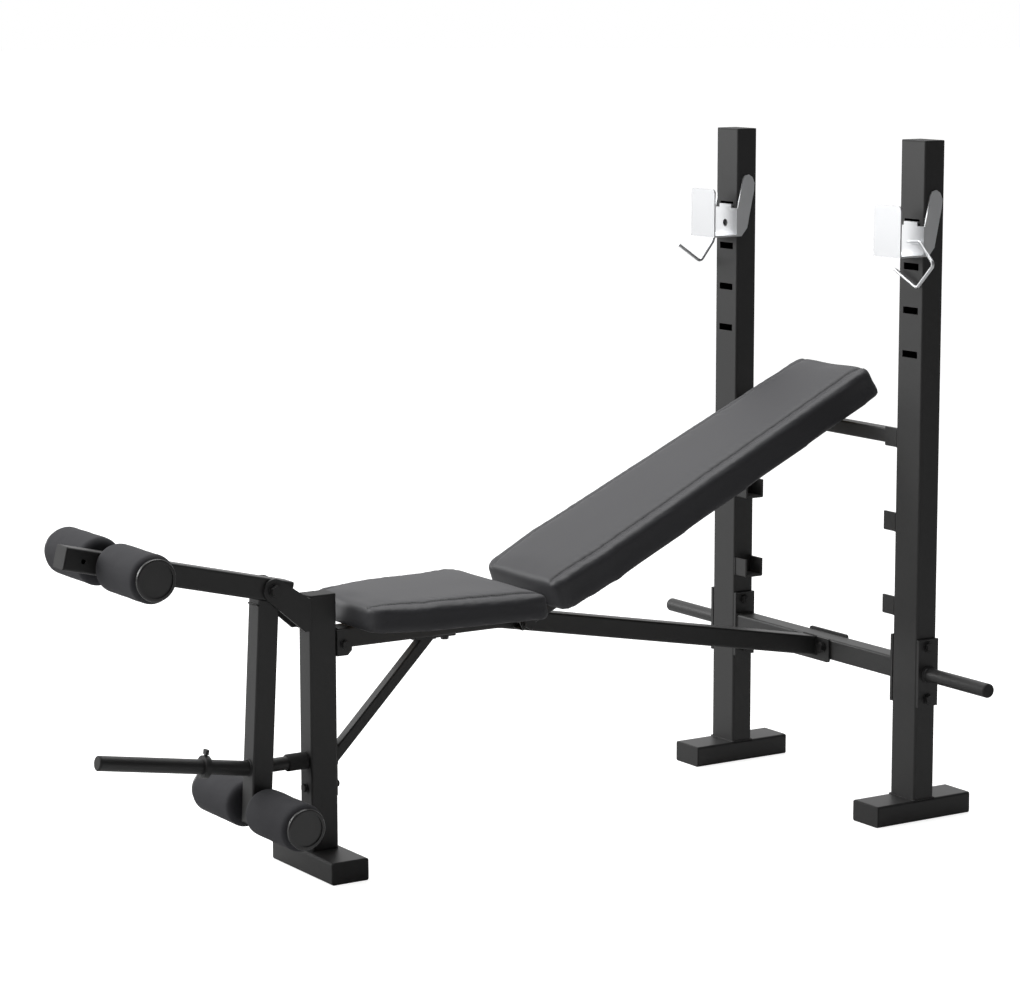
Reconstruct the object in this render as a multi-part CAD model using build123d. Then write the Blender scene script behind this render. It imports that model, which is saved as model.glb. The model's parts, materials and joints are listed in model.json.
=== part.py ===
from build123d import *
from math import atan2, cos, degrees, radians, sin, tan
import os

# Bench press with uprights, adjustable backrest and leg developer. Millimetres, +Z up.
# X runs across the bench, +Y points from the leg developer to the rack, the floor is Z = 0.

# ---- rack -------------------------------------------------------------------
rack_y = 708.8            # centre plane of the uprights
upright_x = 269.0         # half the distance between the uprights' centre lines
upright_width = 66.0
upright_depth = 44.0
rack_height = 1200.0
tube_wall = 2.0
tube_corner = 4.0
foot_width = 70.0
foot_height = 38.0
rack_foot_length = 204.0
slot_width = 40.0
slot_height = 12.0
slot_top_z = 1058.5
slot_pitch = 76.5
slot_count = 4
crossbar_size = 38.0
crossbar_z = 267.5
plate_height = 120.0
plate_thickness = 6.0
plate_bolt_spread = 93.0
peg_diameter = 25.0
peg_end_x = 470.0
peg_z = 265.0
peg_fillet = (2.0, 6.0)     # rise and run of the weld round a peg

# ---- incline support --------------------------------------------------------
cradle_top_z = 695.0
cradle_pitch = 150.0
cradle_levels = 3
cradle_size = (33.0, 40.0, 34.0)
cradle_wall = 4.0
support_bar_size = 25.0

# ---- front post, foot and main rail -----------------------------------------
post_y = rack_y - 1055.0
post_width = 40.0
post_depth = 50.0
post_top_z = 472.0
front_foot_length = 199.0
rail_width = 38.0
rail_height = 35.0
rail_z = 394.5
rail_bend_y = rack_y - 707.0
rail_end_z = 269.0
clamp_width = 110.0
clamp_thickness = 4.0
brace_size = 20.0

# ---- seat and backrest ------------------------------------------------------
pad_board = 12.0
seat_front_y = rack_y - 1012.0
seat_back_y = rack_y - 690.0
seat_thickness = 45.0
seat_front_half = 108.0
seat_mid_half = 140.0
seat_back_half = 160.0
back_angle = 25.3
back_rail_width = 30.0
back_rail_height = 18.0
back_rail_x = 35.5
back_pad_start = 40.0
back_pad_length = 765.0
back_thickness = 58.0

# ---- leg developer ----------------------------------------------------------
lever_tube = 38.0
lever_pivot_y = rack_y - 1147.0
lever_pivot_z = 488.0
upper_arm_angle = 13.5
upper_arm_reach = 379.0
upper_arm_tail = 33.0
upper_axle_reach = 295.0
lower_arm_lean = 3.06
lower_arm_offset = 7.0
lower_arm_length = 388.0
lower_axle_drop = 366.0
lever_peg_angle = 9.3
lever_peg_drop = 300.0
lever_peg_length = 296.0
collar_reach = 96.0
roller_diameter = 80.0
roller_inner_x = 25.0
roller_outer_x = 165.0
running_gap = 0.05
stub_z = 191.0
body_gap = 0.3


# ---- general helpers --------------------------------------------------------
def tube_section(width, depth, wall=tube_wall, corner=tube_corner):
    """Cross-section of a rectangular tube with rounded corners."""
    inner = RectangleRounded(width - 2 * wall, depth - 2 * wall, corner - wall)
    return RectangleRounded(width, depth, corner) - inner


def round_section(diameter, wall=tube_wall):
    """Cross-section of a round tube."""
    return Circle(diameter / 2) - Circle(diameter / 2 - wall)


def member(start, end, section):
    """A straight length of section from one point to another; its width lies along X, or Y in a cross member."""
    run = Vector(*end) - Vector(*start)
    across = (0, 1, 0) if abs(run.normalized().X) > 0.99 else (1, 0, 0)
    plane = Plane(origin=start, x_dir=across, z_dir=run)
    return extrude(plane * section, run.length)


def rod(start, end, diameter):
    """A solid round bar between two points; it also cuts holes."""
    run = Vector(*end) - Vector(*start)
    return extrude(Plane(origin=start, z_dir=run) * Circle(diameter / 2), run.length)


def block(x, y, z):
    """A box from three pairs of limits."""
    size = (x[1] - x[0], y[1] - y[0], z[1] - z[0])
    centre = ((x[0] + x[1]) / 2, (y[0] + y[1]) / 2, (z[0] + z[1]) / 2)
    return Pos(*centre) * Box(*size)


def side_plate(points, x, thickness):
    """A flat plate with an outline in the YZ plane, from x outwards by thickness along +X."""
    outline = make_face(Polyline(*points, close=True))
    return extrude(Plane(origin=(x, 0, 0), x_dir=(0, 1, 0), z_dir=(1, 0, 0)) * outline, thickness)


def fastener(start, direction, grip, diameter, nut=True):
    """Hex bolt with a washer under its head, its head outside start, and a nut beyond the grip."""
    d = Vector(*direction).normalized()
    s = Vector(*start)
    head = RegularPolygon(diameter * 0.87, 6)
    washer = diameter * 0.2
    parts = [extrude(Plane(origin=s - d * washer, z_dir=d) * Circle(diameter), washer)]
    parts.append(extrude(Plane(origin=s - d * (washer + diameter * 0.6), z_dir=d) * head, diameter * 0.6))
    length = grip + (diameter if nut else 0)
    parts.append(extrude(Plane(origin=s - d * washer, z_dir=d) * Circle(diameter / 2), length + washer))
    if nut:
        parts.append(extrude(Plane(origin=s + d * grip, z_dir=d) * head, diameter * 0.8))
    bolt = parts[0]
    for piece in parts[1:]:
        bolt = bolt + piece
    return bolt


def tube_plug(centre, outward, width, depth, across, lip=3.0, inset=8.0, wall=tube_wall):
    """Plastic end plug: a lip over the tube's end and a skirt inside it."""
    out = Vector(*outward)
    start = Vector(*centre)
    lip_plane = Plane(origin=start, x_dir=across, z_dir=out)
    lip_part = extrude(lip_plane * RectangleRounded(width, depth, tube_corner), lip)
    lip_part = fillet(lip_part.faces().sort_by(Axis(start, out))[-1].edges(), lip * 0.5)
    skirt = RectangleRounded(width - 2 * wall, depth - 2 * wall, tube_corner - wall)
    return lip_part + extrude(Plane(origin=start, x_dir=across, z_dir=-out) * skirt, inset)


def bent_wire(points, diameter, radius):
    """A round wire along straight runs joined by arcs."""
    path = FilletPolyline(*points, radius=radius)
    return sweep(Plane(origin=path @ 0, z_dir=path % 0) * Circle(diameter / 2), path)


def save(node, *solids):
    """Write one node; several separate solids become a group."""
    flat = [solid for piece in solids for solid in piece.solids()]
    shape = flat[0] if len(flat) == 1 else Compound(children=flat)
    export_step(shape, os.path.join("parts", node + ".step"))


sides = {"left": -1, "right": 1}
clear = 0.2               # how far a bolt hole is wider than its bolt, on the radius


def hole(start, end, bolt):
    """A clearance hole for a bolt."""
    return rod(start, end, bolt + 2 * clear)


# ---- rack -------------------------------------------------------------------
front_face = rack_y - upright_depth / 2
back_face = rack_y + upright_depth / 2
plate_bolt = 10.0
plate_zs = (crossbar_z - plate_bolt_spread / 2, crossbar_z + plate_bolt_spread / 2)
catch_web_z = (1001.0, 1053.0)
catch_sheet = 3.0
pin_wire = 6.0
catch_hole = 14.0
front_pin_z = 1025.0
side_pin_y = rack_y - 8.0
side_pin_z = 1022.0


def upright(side):
    """Slotted upright tube with its bolt and pin holes."""
    x = side * upright_x
    section = tube_section(upright_width, upright_depth)
    body = member((x, rack_y, foot_height), (x, rack_y, rack_height - 3), section)
    for level in range(slot_count):
        z = slot_top_z - level * slot_pitch
        slot = block((x - slot_width / 2, x + slot_width / 2), (front_face - 1, front_face + 5),
                     (z - slot_height / 2, z + slot_height / 2))
        body -= slot
    for z in plate_zs:
        body -= hole((x - 40, rack_y, z), (x + 40, rack_y, z), plate_bolt)
    if side > 0:
        body -= hole((x, front_face - 1, front_pin_z), (x, front_face + 6, front_pin_z), pin_wire)
    else:
        body -= hole((x - 40, side_pin_y, side_pin_z), (x, side_pin_y, side_pin_z), pin_wire)
    return body


def rack_foot(side):
    """Foot tube along Y under an upright."""
    x = side * upright_x
    z = foot_height / 2
    half = rack_foot_length / 2
    return member((x, rack_y - half, z), (x, rack_y + half, z), tube_section(foot_width, foot_height))


def foot_caps():
    """Six foot end caps: four on the rack feet and two on the front foot."""
    z = foot_height / 2
    caps = []
    for side in sides.values():
        for end in (-1, 1):
            at = (side * upright_x, rack_y + end * rack_foot_length / 2, z)
            caps.append(tube_plug(at, (0, end, 0), foot_width, foot_height, (1, 0, 0)))
        at = (side * front_foot_length / 2, post_y, z)
        caps.append(tube_plug(at, (side, 0, 0), foot_width, foot_height, (0, 1, 0)))
    return caps


def upright_caps():
    """Top caps of the two uprights."""
    top = rack_height - 3
    return [tube_plug((side * upright_x, rack_y, top), (0, 0, 1), upright_width, upright_depth, (1, 0, 0))
            for side in sides.values()]


inner_face_x = upright_x - upright_width / 2
outer_face_x = upright_x + upright_width / 2
clamp_bolt = 10.0
clamp_bolt_x = 36.0


def plate_holes(shape, side):
    """Cut the two plate bolts' holes on one side of the rack."""
    for z in plate_zs:
        a = side * (inner_face_x - 30)
        b = side * (outer_face_x + 30)
        shape -= hole((a, rack_y, z), (b, rack_y, z), plate_bolt)
    return shape


def crossbar():
    """Crossbar tube with a welded plate at each end, against the uprights' inner faces."""
    end = inner_face_x - plate_thickness
    bar = member((-end, rack_y, crossbar_z), (end, rack_y, crossbar_z),
                 tube_section(crossbar_size, crossbar_size))
    for side in sides.values():
        plate = block(sorted((side * end, side * inner_face_x)), (front_face, back_face),
                      (crossbar_z - plate_height / 2, crossbar_z + plate_height / 2))
        bar = bar + plate_holes(plate, side)
        x = side * clamp_bolt_x
        bar -= hole((x, rack_y - 30, crossbar_z + 3), (x, rack_y + 30, crossbar_z + 3), clamp_bolt)
    return bar


def peg_plate(side):
    """Outer plate with its welded weight peg."""
    far = outer_face_x + plate_thickness
    plate = block(sorted((side * outer_face_x, side * far)), (front_face, back_face),
                  (crossbar_z - plate_height / 2, crossbar_z + plate_height / 2))
    plate = plate_holes(plate, side)
    peg = member((side * (far - 1), rack_y, peg_z), (side * (peg_end_x - 4), rack_y, peg_z),
                 round_section(peg_diameter))
    base = Plane(origin=(side * far, rack_y, peg_z), z_dir=(side, 0, 0))
    weld = extrude(base * Circle(peg_diameter / 2 + peg_fillet[0]), peg_fillet[1],
                   taper=degrees(atan2(*peg_fillet)))
    weld -= extrude(base * Circle(peg_diameter / 2 - 1), peg_fillet[1])
    return plate + peg + weld


def round_plug(at, outward, diameter, lip=4.0, inset=14.0):
    """Domed plug for a round tube's end."""
    out = Vector(*outward)
    start = Vector(*at)
    plug = extrude(Plane(origin=start, z_dir=out) * Circle(diameter / 2), lip)
    plug = fillet(plug.faces().sort_by(Axis(start, out))[-1].edges(), lip * 0.7)
    return plug + extrude(Plane(origin=start, z_dir=-out) * Circle(diameter / 2 - tube_wall), inset)


def peg_end_caps():
    """Domed caps on the two rack pegs."""
    return [round_plug((side * (peg_end_x - 4), rack_y, peg_z), (side, 0, 0), peg_diameter)
            for side in sides.values()]


def plate_bolts():
    """Four bolts through the outer plate, the upright and the crossbar's plate."""
    bolts = []
    grip = upright_width + 2 * plate_thickness
    for side in sides.values():
        for z in plate_zs:
            start = (side * (outer_face_x + plate_thickness), rack_y, z)
            bolts.append(fastener(start, (-side, 0, 0), grip, plate_bolt))
    return bolts


def cradles(side):
    """Three U-shaped cradles welded to an upright's inner face."""
    length, depth, height = cradle_size
    found = []
    for level in range(cradle_levels):
        top = cradle_top_z - level * cradle_pitch
        xs = sorted((side * (inner_face_x - length), side * inner_face_x))
        outer = block(xs, (rack_y - depth / 2, rack_y + depth / 2), (top - height, top))
        outer = fillet(outer.edges().filter_by(Axis.X).group_by(Axis.Z)[0], 3)
        inner = block((xs[0] - 1, xs[1] + 1), (rack_y - depth / 2 + cradle_wall, rack_y + depth / 2 - cradle_wall),
                      (top - height + cradle_wall, top + 1))
        found.append(outer - inner)
    return found


def bar_catch(side):
    """Bar catch: a bracket round the upright's front with a shelf, a front lip and two side horns."""
    x = side * upright_x
    low, high = catch_web_z
    web_back = front_face - 0.3
    web_front = web_back - catch_sheet
    half = upright_width / 2 + 0.3 + catch_sheet
    lip_y = rack_y - 77.0
    lip_top = 1090.0
    web = block((x - half, x + half), (web_front, web_back), (low, high))
    shelf = block((x - half, x + half), (lip_y, web_back), (low, low + catch_sheet))
    lip = block((x - half, x + half), (lip_y, lip_y + catch_sheet), (low, lip_top))
    lip = fillet(lip.edges().filter_by(Axis.Y).group_by(Axis.Z)[-1], 8)
    body = web + shelf + lip
    y = rack_y
    horn = [(y - 23, low), (y - 14, low), (y - 1, low + 15), (y + 8, 1058), (y + 14, 1085), (y + 15, 1099),
            (y + 10, 1110), (y + 2, 1115), (y - 7, 1113), (y - 12, 1106), (y - 23, high)]
    for inner in (x - half, x + half - catch_sheet):
        body = body + side_plate(horn, inner, catch_sheet)
    tab_z = slot_top_z
    tab = block((x - slot_width / 2 + 2, x + slot_width / 2 - 2), (web_front, front_face + 8),
                (tab_z - catch_sheet / 2, tab_z + catch_sheet / 2))
    riser = block((x - slot_width / 2 + 2, x + slot_width / 2 - 2), (web_front, web_back),
                  (high - 1, tab_z + catch_sheet / 2))
    body = body + riser + tab
    if side > 0:
        body -= hole((x, web_front - 1, front_pin_z), (x, web_back + 1, front_pin_z), pin_wire)
    else:
        body -= rod((x, web_front - 1, front_pin_z), (x, web_back + 1, front_pin_z), catch_hole)
        body -= hole((x - 40, side_pin_y, side_pin_z), (x, side_pin_y, side_pin_z), pin_wire)
    return body


def front_lock_pin():
    """Wire pin pushed in along Y through the right catch, with its bent handle hanging in front."""
    x = upright_x
    y = rack_y - 34.0
    points = [(x, front_face + 12, front_pin_z), (x, y, front_pin_z), (x + 36, y, front_pin_z + 2),
              (x + 75, y, 991), (x + 31, y, 948), (x - 30, y, 976)]
    return bent_wire(points, pin_wire, 8)


def side_lock_pin():
    """Wire pin pushed in along X through the left catch's outer side."""
    x = -upright_x
    out = x - 45.0
    points = [(x - 14, side_pin_y, side_pin_z), (out, side_pin_y, side_pin_z), (out, rack_y - 21, 986),
              (out, rack_y - 49, 950), (out, rack_y - 99, 984)]
    return bent_wire(points, pin_wire, 8)


# ---- incline support bar ----------------------------------------------------
bar_floor_z = cradle_top_z - cradle_size[2] + cradle_wall
bar_z = bar_floor_z + support_bar_size / 2
bar_half = inner_face_x - 4.0


def support_bar():
    """Square bar lying in the top pair of cradles, under the backrest's rails."""
    return member((-bar_half, rack_y, bar_z), (bar_half, rack_y, bar_z),
                  tube_section(support_bar_size, support_bar_size, corner=3.0))


def support_bar_caps():
    """Plugs in the support bar's ends."""
    return [tube_plug((side * bar_half, rack_y, bar_z), (side, 0, 0), support_bar_size, support_bar_size,
                      (0, 1, 0), lip=2.0) for side in sides.values()]


# ---- front post, foot, main rail --------------------------------------------
post_front = post_y - post_depth / 2
post_back = post_y + post_depth / 2
post_bolt = 8.0
post_bolt_z = 144.0
bracket_sheet = 3.0
rail_top = rail_z + rail_height / 2
rail_bottom = rail_z - rail_height / 2
clamp_front_y = front_face - clamp_thickness + (upright_depth - crossbar_size) / 2
crossbar_front = rack_y - crossbar_size / 2
crossbar_back = rack_y + crossbar_size / 2
rail_slope = (rail_z - rail_end_z) / (clamp_front_y - rail_bend_y)
rail_bolt_y = post_back + 14.0
rail_bolt_z = 384.0
brace_bolt_y = rack_y - 808.0
web_bolt_zs = (426.0, 446.0)


def back_centre_z(y):
    """Height of the back rails' centre line at y, touching the support bar's front top corner."""
    contact_z = bar_z + support_bar_size / 2 + body_gap
    contact_y = rack_y - support_bar_size / 2
    return contact_z + back_rail_height / 2 / cos(radians(back_angle)) + tan(radians(back_angle)) * (y - contact_y)


hinge_y = rail_bend_y + (rail_z - back_centre_z(rail_bend_y)) / (tan(radians(back_angle)) + rail_slope)
hinge_z = back_centre_z(hinge_y)
hinge_bolt = 12.0
hinge_bush = 9.0


def front_post():
    """Vertical post under the seat's front edge."""
    post = member((0, post_y, foot_height), (0, post_y, post_top_z - 3), tube_section(post_width, post_depth))
    post -= hole((0, post_front - 5, post_bolt_z), (0, post_back + 5, post_bolt_z), post_bolt)
    for z in web_bolt_zs:
        post -= hole((0, post_front - 5, z), (0, post_front + 5, z), post_bolt)
    return post


def front_foot():
    """Front foot tube with the spigot that carries the post."""
    z = foot_height / 2
    half = front_foot_length / 2
    foot = member((-half, post_y, z), (half, post_y, z), tube_section(foot_width, foot_height))
    inner = (post_width - 2 * tube_wall - 0.4, post_depth - 2 * tube_wall - 0.4)
    spigot = member((0, post_y, foot_height - 1), (0, post_y, 180), tube_section(*inner, wall=3.0))
    return foot + (spigot - hole((0, post_front, post_bolt_z), (0, post_back, post_bolt_z), post_bolt))


def post_rail_bracket():
    """Saddle on the post's rear face that holds the main rail's front end."""
    half = rail_width / 2
    back = block((-half - bracket_sheet, half + bracket_sheet), (post_back, post_back + bracket_sheet),
                 (rail_bottom - 12, rail_top - 3))
    outline = [(post_back, rail_bottom - 12), (post_back + 20, rail_bottom - 12), (post_back + 28, rail_bottom - 4),
               (post_back + 28, rail_top - 8), (post_back + 22, rail_top - 3), (post_back, rail_top - 3)]
    for x in (-half - bracket_sheet, half):
        back = back + side_plate(outline, x, bracket_sheet)
    return back - hole((-40, rail_bolt_y, rail_bolt_z), (40, rail_bolt_y, rail_bolt_z), post_bolt)


def post_rail_bolt():
    """Bolt across the saddle and the rail."""
    x = rail_width / 2 + bracket_sheet
    return fastener((x, rail_bolt_y, rail_bolt_z), (-1, 0, 0), 2 * x, post_bolt)


def main_rail():
    """Bent rail: level under the seat, then sloping down to the crossbar."""
    start = Vector(0, post_back + bracket_sheet, rail_z)
    far_y = clamp_front_y + 10
    far = Vector(0, far_y, rail_z - rail_slope * (far_y - rail_bend_y))
    path = FilletPolyline(start, Vector(0, rail_bend_y, rail_z), far, radius=120)
    section = Plane(origin=start, x_dir=(1, 0, 0), z_dir=(0, 1, 0)) * tube_section(rail_width, rail_height)
    rail = sweep(section, path)
    rail -= block((-50, 50), (clamp_front_y, clamp_front_y + 60), (200, 330))
    rail -= hole((-40, rail_bolt_y, rail_bolt_z), (40, rail_bolt_y, rail_bolt_z), post_bolt)
    rail -= hole((0, brace_bolt_y, rail_bottom - 5), (0, brace_bolt_y, rail_bottom + 5), post_bolt)
    return rail - rod((-40, hinge_y, hinge_z), (40, hinge_y, hinge_z), 2 * hinge_bush)


def back_hinge_bush():
    """Plastic sleeve across the main rail that carries the hinge bolt."""
    half = rail_width / 2
    sleeve = rod((-half, hinge_y, hinge_z), (half, hinge_y, hinge_z), 2 * hinge_bush)
    return sleeve - rod((-40, hinge_y, hinge_z), (40, hinge_y, hinge_z), hinge_bolt + 2 * running_gap)


def back_hinge_bolt():
    """Hinge bolt of the backrest, with its nut."""
    reach = back_rail_x + back_rail_width / 2 + 0.5
    return fastener((reach, hinge_y, hinge_z), (-1, 0, 0), 2 * reach, hinge_bolt)


def clamp_plate(y0, z_low, z_high):
    """One plate of the rear clamp, with its two bolt holes."""
    plate = block((-clamp_width / 2, clamp_width / 2), (y0, y0 + clamp_thickness), (z_low, z_high))
    plate = fillet(plate.edges().filter_by(Axis.Y), 5)
    for side in sides.values():
        x = side * clamp_bolt_x
        plate -= hole((x, y0 - 5, crossbar_z + 3), (x, y0 + 10, crossbar_z + 3), clamp_bolt)
    return plate


def clamp_bolts():
    """Two bolts through the front plate, the crossbar and the back plate."""
    grip = crossbar_size + 2 * clamp_thickness
    start_y = crossbar_front - clamp_thickness
    return [fastener((side * clamp_bolt_x, start_y, crossbar_z + 3), (0, 1, 0), grip, clamp_bolt)
            for side in sides.values()]


def diagonal_brace():
    """Square brace from the post's foot to the rail, with a flange at each end."""
    flange = 4.0
    low_y, top_z = post_back, rail_bottom
    low = (0, low_y - 4, 186.0)
    run = (top_z + 4) - low[2]
    top = (0, low[1] + run, top_z + 4)
    tube = member(low, top, tube_section(brace_size, brace_size, corner=3.0))
    tube -= block((-30, 30), (low_y - 60, low_y + flange - 1), (100, 260))
    tube -= block((-30, 30), (low_y, low_y + 400), (top_z - flange + 1, top_z + 60))
    half = brace_size / 2 + 2
    lower = block((-half, half), (low_y, low_y + flange), (126, 216))
    upper = block((-half, half), (top[1] - 36, brace_bolt_y + 15), (top_z - flange, top_z))
    lower -= hole((0, low_y - 5, post_bolt_z), (0, low_y + 10, post_bolt_z), post_bolt)
    upper -= hole((0, brace_bolt_y, top_z - 10), (0, brace_bolt_y, top_z + 5), post_bolt)
    return lower + tube + upper


def brace_bolts():
    """Through bolt at the post and the short bolt under the rail, with its nut inside the rail."""
    through = fastener((0, post_front, post_bolt_z), (0, 1, 0), post_depth + 4, post_bolt)
    short = fastener((0, brace_bolt_y, rail_bottom - 4), (0, 0, 1), 4 + tube_wall, post_bolt)
    return [through, short]


# ---- seat -------------------------------------------------------------------
seat_plate = 3.0
screw = 6.0
seat_bottom = rail_top + seat_plate
seat_bracket_ys = (seat_front_y + 62.0, seat_back_y - 78.0)


def seat_outline(inset):
    """Tapered seat outline with rounded corners."""
    front, back = seat_front_y + inset, seat_back_y - inset
    halves = [(seat_front_half - inset, front), (seat_mid_half - inset, front + 95.0), (seat_back_half - inset, back)]
    points = halves + [(-x, y) for x, y in reversed(halves)]
    face = make_face(Polyline(*points, close=True))
    face = fillet(face.vertices().group_by(Axis.Y)[0], 36 - inset * 0.5)
    return fillet(face.vertices().group_by(Axis.Y)[-1], 24 - inset * 0.5)


def seat_screw_points():
    """Where the four seat screws pass the cross plates' undersides."""
    return [(side * 75.0, y, rail_top) for y in seat_bracket_ys for side in sides.values()]


def seat_screw_holes():
    """Holes for the seat screws through the cross plates and into the board."""
    depth = seat_plate + 9.5
    return Part() + [hole((x, y, z), (x, y, z + depth), screw) for x, y, z in seat_screw_points()]


def seat_board():
    """Plywood base of the seat."""
    board = extrude(Plane.XY.offset(seat_bottom) * seat_outline(10), pad_board)
    return board - seat_screw_holes()


def seat_pad():
    """Foam and cover of the seat, wrapped round the board's edge."""
    pad = extrude(Plane.XY.offset(seat_bottom) * seat_outline(0), seat_thickness)
    pad = fillet(pad.faces().sort_by(Axis.Z)[-1].edges(), 10)
    return pad - extrude(Plane.XY.offset(seat_bottom) * seat_outline(10), pad_board)


def seat_brackets():
    """Two cross plates on the rail that carry the seat board."""
    holes = seat_screw_holes()
    return [block((-95, 95), (y - 20, y + 20), (rail_top, seat_bottom)) - holes for y in seat_bracket_ys]


def seat_screws():
    """Four screws up through the cross plates into the board."""
    return [fastener(point, (0, 0, 1), seat_plate + 9, screw, nut=False) for point in seat_screw_points()]


# ---- backrest ---------------------------------------------------------------
tilt = radians(back_angle)
back_plane = Plane(origin=(0, hinge_y, hinge_z), x_dir=(1, 0, 0), z_dir=(0, -sin(tilt), cos(tilt)))
back_low = back_rail_height / 2
back_screw_rows = (150.0, 620.0)


def back_outline(inset):
    """Backrest outline in its own plane: widest a little above its lower end, tapering to the head."""
    low, high = back_pad_start + inset, back_pad_start + back_pad_length - inset
    halves = [(120 - inset, low), (130 - inset, back_pad_start + 110), (105 - inset, high)]
    points = halves + [(-x, y) for x, y in reversed(halves)]
    face = make_face(Polyline(*points, close=True))
    face = fillet(face.vertices().group_by(Axis.Y)[0], 28 - inset * 0.5)
    return fillet(face.vertices().group_by(Axis.Y)[-1], 26 - inset * 0.5)


def back_board():
    """Plywood base of the backrest."""
    board = extrude(back_plane.offset(back_low) * back_outline(10), pad_board)
    for side in sides.values():
        for along in back_screw_rows:
            x = side * back_rail_x
            board -= hole(back_point(x, along, 0), back_point(x, along, back_low + 9.5), screw)
    return board


def back_pad():
    """Foam and cover of the backrest."""
    pad = extrude(Plane.XY.offset(back_low) * back_outline(0), back_thickness)
    pad = fillet(pad.faces().sort_by(Axis.Z)[-1].edges(), 12)
    recess = extrude(Plane.XY.offset(back_low) * back_outline(10), pad_board)
    return back_plane.location * (pad - recess)


def back_point(x, along, normal):
    """A point given in the backrest's plane, in the object's frame."""
    p = back_plane.from_local_coords(Vector(x, along, normal))
    return (p.X, p.Y, p.Z)


def back_rails():
    """Two rails under the backrest, hinged on the main rail, joined by a cross strap."""
    rails = []
    section = tube_section(back_rail_width, back_rail_height, corner=3.0)
    for side in sides.values():
        x = side * back_rail_x
        rail = member(back_point(x, -13, 0), back_point(x, 765, 0), section)
        rail -= rod((x - 30, hinge_y, hinge_z), (x + 30, hinge_y, hinge_z), hinge_bolt + 2 * running_gap)
        for along in back_screw_rows:
            rail -= hole(back_point(x, along, -20), back_point(x, along, 20), screw)
        rails.append(rail)
    inner = back_rail_x - back_rail_width / 2
    strap = back_plane * (Pos(0, 560, 0) * Box(2 * inner, 40, back_rail_height - 6))
    return rails[0] + rails[1] + strap


def back_screws():
    """Four screws up through the rails into the backrest's board."""
    tip = Vector(0, -sin(tilt), cos(tilt))
    return [fastener(back_point(side * back_rail_x, along, -back_low), tip, back_rail_height + 9, screw, nut=False)
            for along in back_screw_rows for side in sides.values()]


# ---- leg developer ----------------------------------------------------------
pivot = Vector(0, lever_pivot_y, lever_pivot_z)
arm_up = radians(upper_arm_angle)
arm_dir = Vector(0, -cos(arm_up), sin(arm_up))
lean = radians(lower_arm_lean)
leg_dir = Vector(0, -sin(lean), -cos(lean))
leg_top = pivot + Vector(0, -lower_arm_offset, 0)
peg_up = radians(lever_peg_angle)
peg_dir = Vector(0, -cos(peg_up), sin(peg_up))
peg_start = leg_top + leg_dir * lever_peg_drop
ear_sheet = 4.0
ear_x = post_width / 2
pivot_bolt_size = 12.0
pivot_bush = 9.0
upper_axle = pivot + arm_dir * upper_axle_reach
lower_axle = leg_top + leg_dir * lower_axle_drop


def at_x(point, x):
    """The point moved to x."""
    return (x, point.Y, point.Z)


def pivot_bracket():
    """U-shaped bracket on the post's front face with two ears that reach up to the pivot."""
    web = block((-ear_x - ear_sheet, ear_x + ear_sheet), (post_front - ear_sheet, post_front), (414, 469))
    for z in web_bolt_zs:
        web -= hole((0, post_front - 10, z), (0, post_front + 5, z), post_bolt)
    y, z = lever_pivot_y, lever_pivot_z
    outline = make_hull(
        (Pos(y, z) * Circle(20)).edges()
        + Polyline((post_front - ear_sheet, 414), (post_front - ear_sheet, 469), (post_front - 12, 414)).edges())
    for x in (-ear_x - ear_sheet, ear_x):
        plane = Plane(origin=(x, 0, 0), x_dir=(0, 1, 0), z_dir=(1, 0, 0))
        web = web + extrude(plane * outline, ear_sheet)
    return web - rod((-40, y, z), (40, y, z), pivot_bolt_size + 2 * running_gap)


def web_bolts():
    """Two bolts that hold the pivot bracket to the post, with their nuts inside it."""
    start_y = post_front - ear_sheet
    return [fastener((0, start_y, z), (0, 1, 0), ear_sheet + tube_wall, post_bolt) for z in web_bolt_zs]


def pivot_bolt():
    """Pivot bolt and nut across the bracket's ears."""
    reach = ear_x + ear_sheet
    return fastener((reach, lever_pivot_y, lever_pivot_z), (-1, 0, 0), 2 * reach, pivot_bolt_size)


def pivot_sleeve():
    """Plastic sleeve in the lever that turns on the pivot bolt."""
    half = ear_x - 0.2
    sleeve = rod(at_x(pivot, -half), at_x(pivot, half), 2 * pivot_bush)
    return sleeve - rod(at_x(pivot, -40), at_x(pivot, 40), pivot_bolt_size + 2 * running_gap)


def upper_arm():
    """Roller arm that reaches forwards and up from the pivot."""
    arm = member(pivot - arm_dir * upper_arm_tail, pivot + arm_dir * upper_arm_reach,
                 tube_section(lever_tube, lever_tube))
    arm -= hole(at_x(upper_axle, -40), at_x(upper_axle, 40), peg_diameter)
    spare = pivot + arm_dir * (upper_arm_reach - 30)
    arm -= rod(at_x(spare, -40), at_x(spare, 40), 8)
    return arm - rod(at_x(pivot, -40), at_x(pivot, 40), 2 * pivot_bush)


def lever_caps():
    """Plugs in the open ends of the lever's square tubes."""
    ends = [(pivot + arm_dir * upper_arm_reach, arm_dir), (pivot - arm_dir * upper_arm_tail, arm_dir * -1),
            (leg_top + leg_dir * lower_arm_length, leg_dir)]
    return [tube_plug(tuple(at), tuple(out), lever_tube, lever_tube, (1, 0, 0)) for at, out in ends]


def filled_tube(start, end, size):
    """The space that a square tube takes up, with room to spare across."""
    return member(start, end, Rectangle(2 * size, size))


upper_block = filled_tube(pivot - arm_dir * 60, pivot + arm_dir * 420, lever_tube)
lower_block = filled_tube(leg_top, leg_top + leg_dir * lower_arm_length, lever_tube)


def lower_arm():
    """Arm that hangs from the upper arm to the lower rollers."""
    arm = member(leg_top, leg_top + leg_dir * lower_arm_length, tube_section(lever_tube, lever_tube))
    return arm - upper_block - hole(at_x(lower_axle, -40), at_x(lower_axle, 40), peg_diameter)


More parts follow.
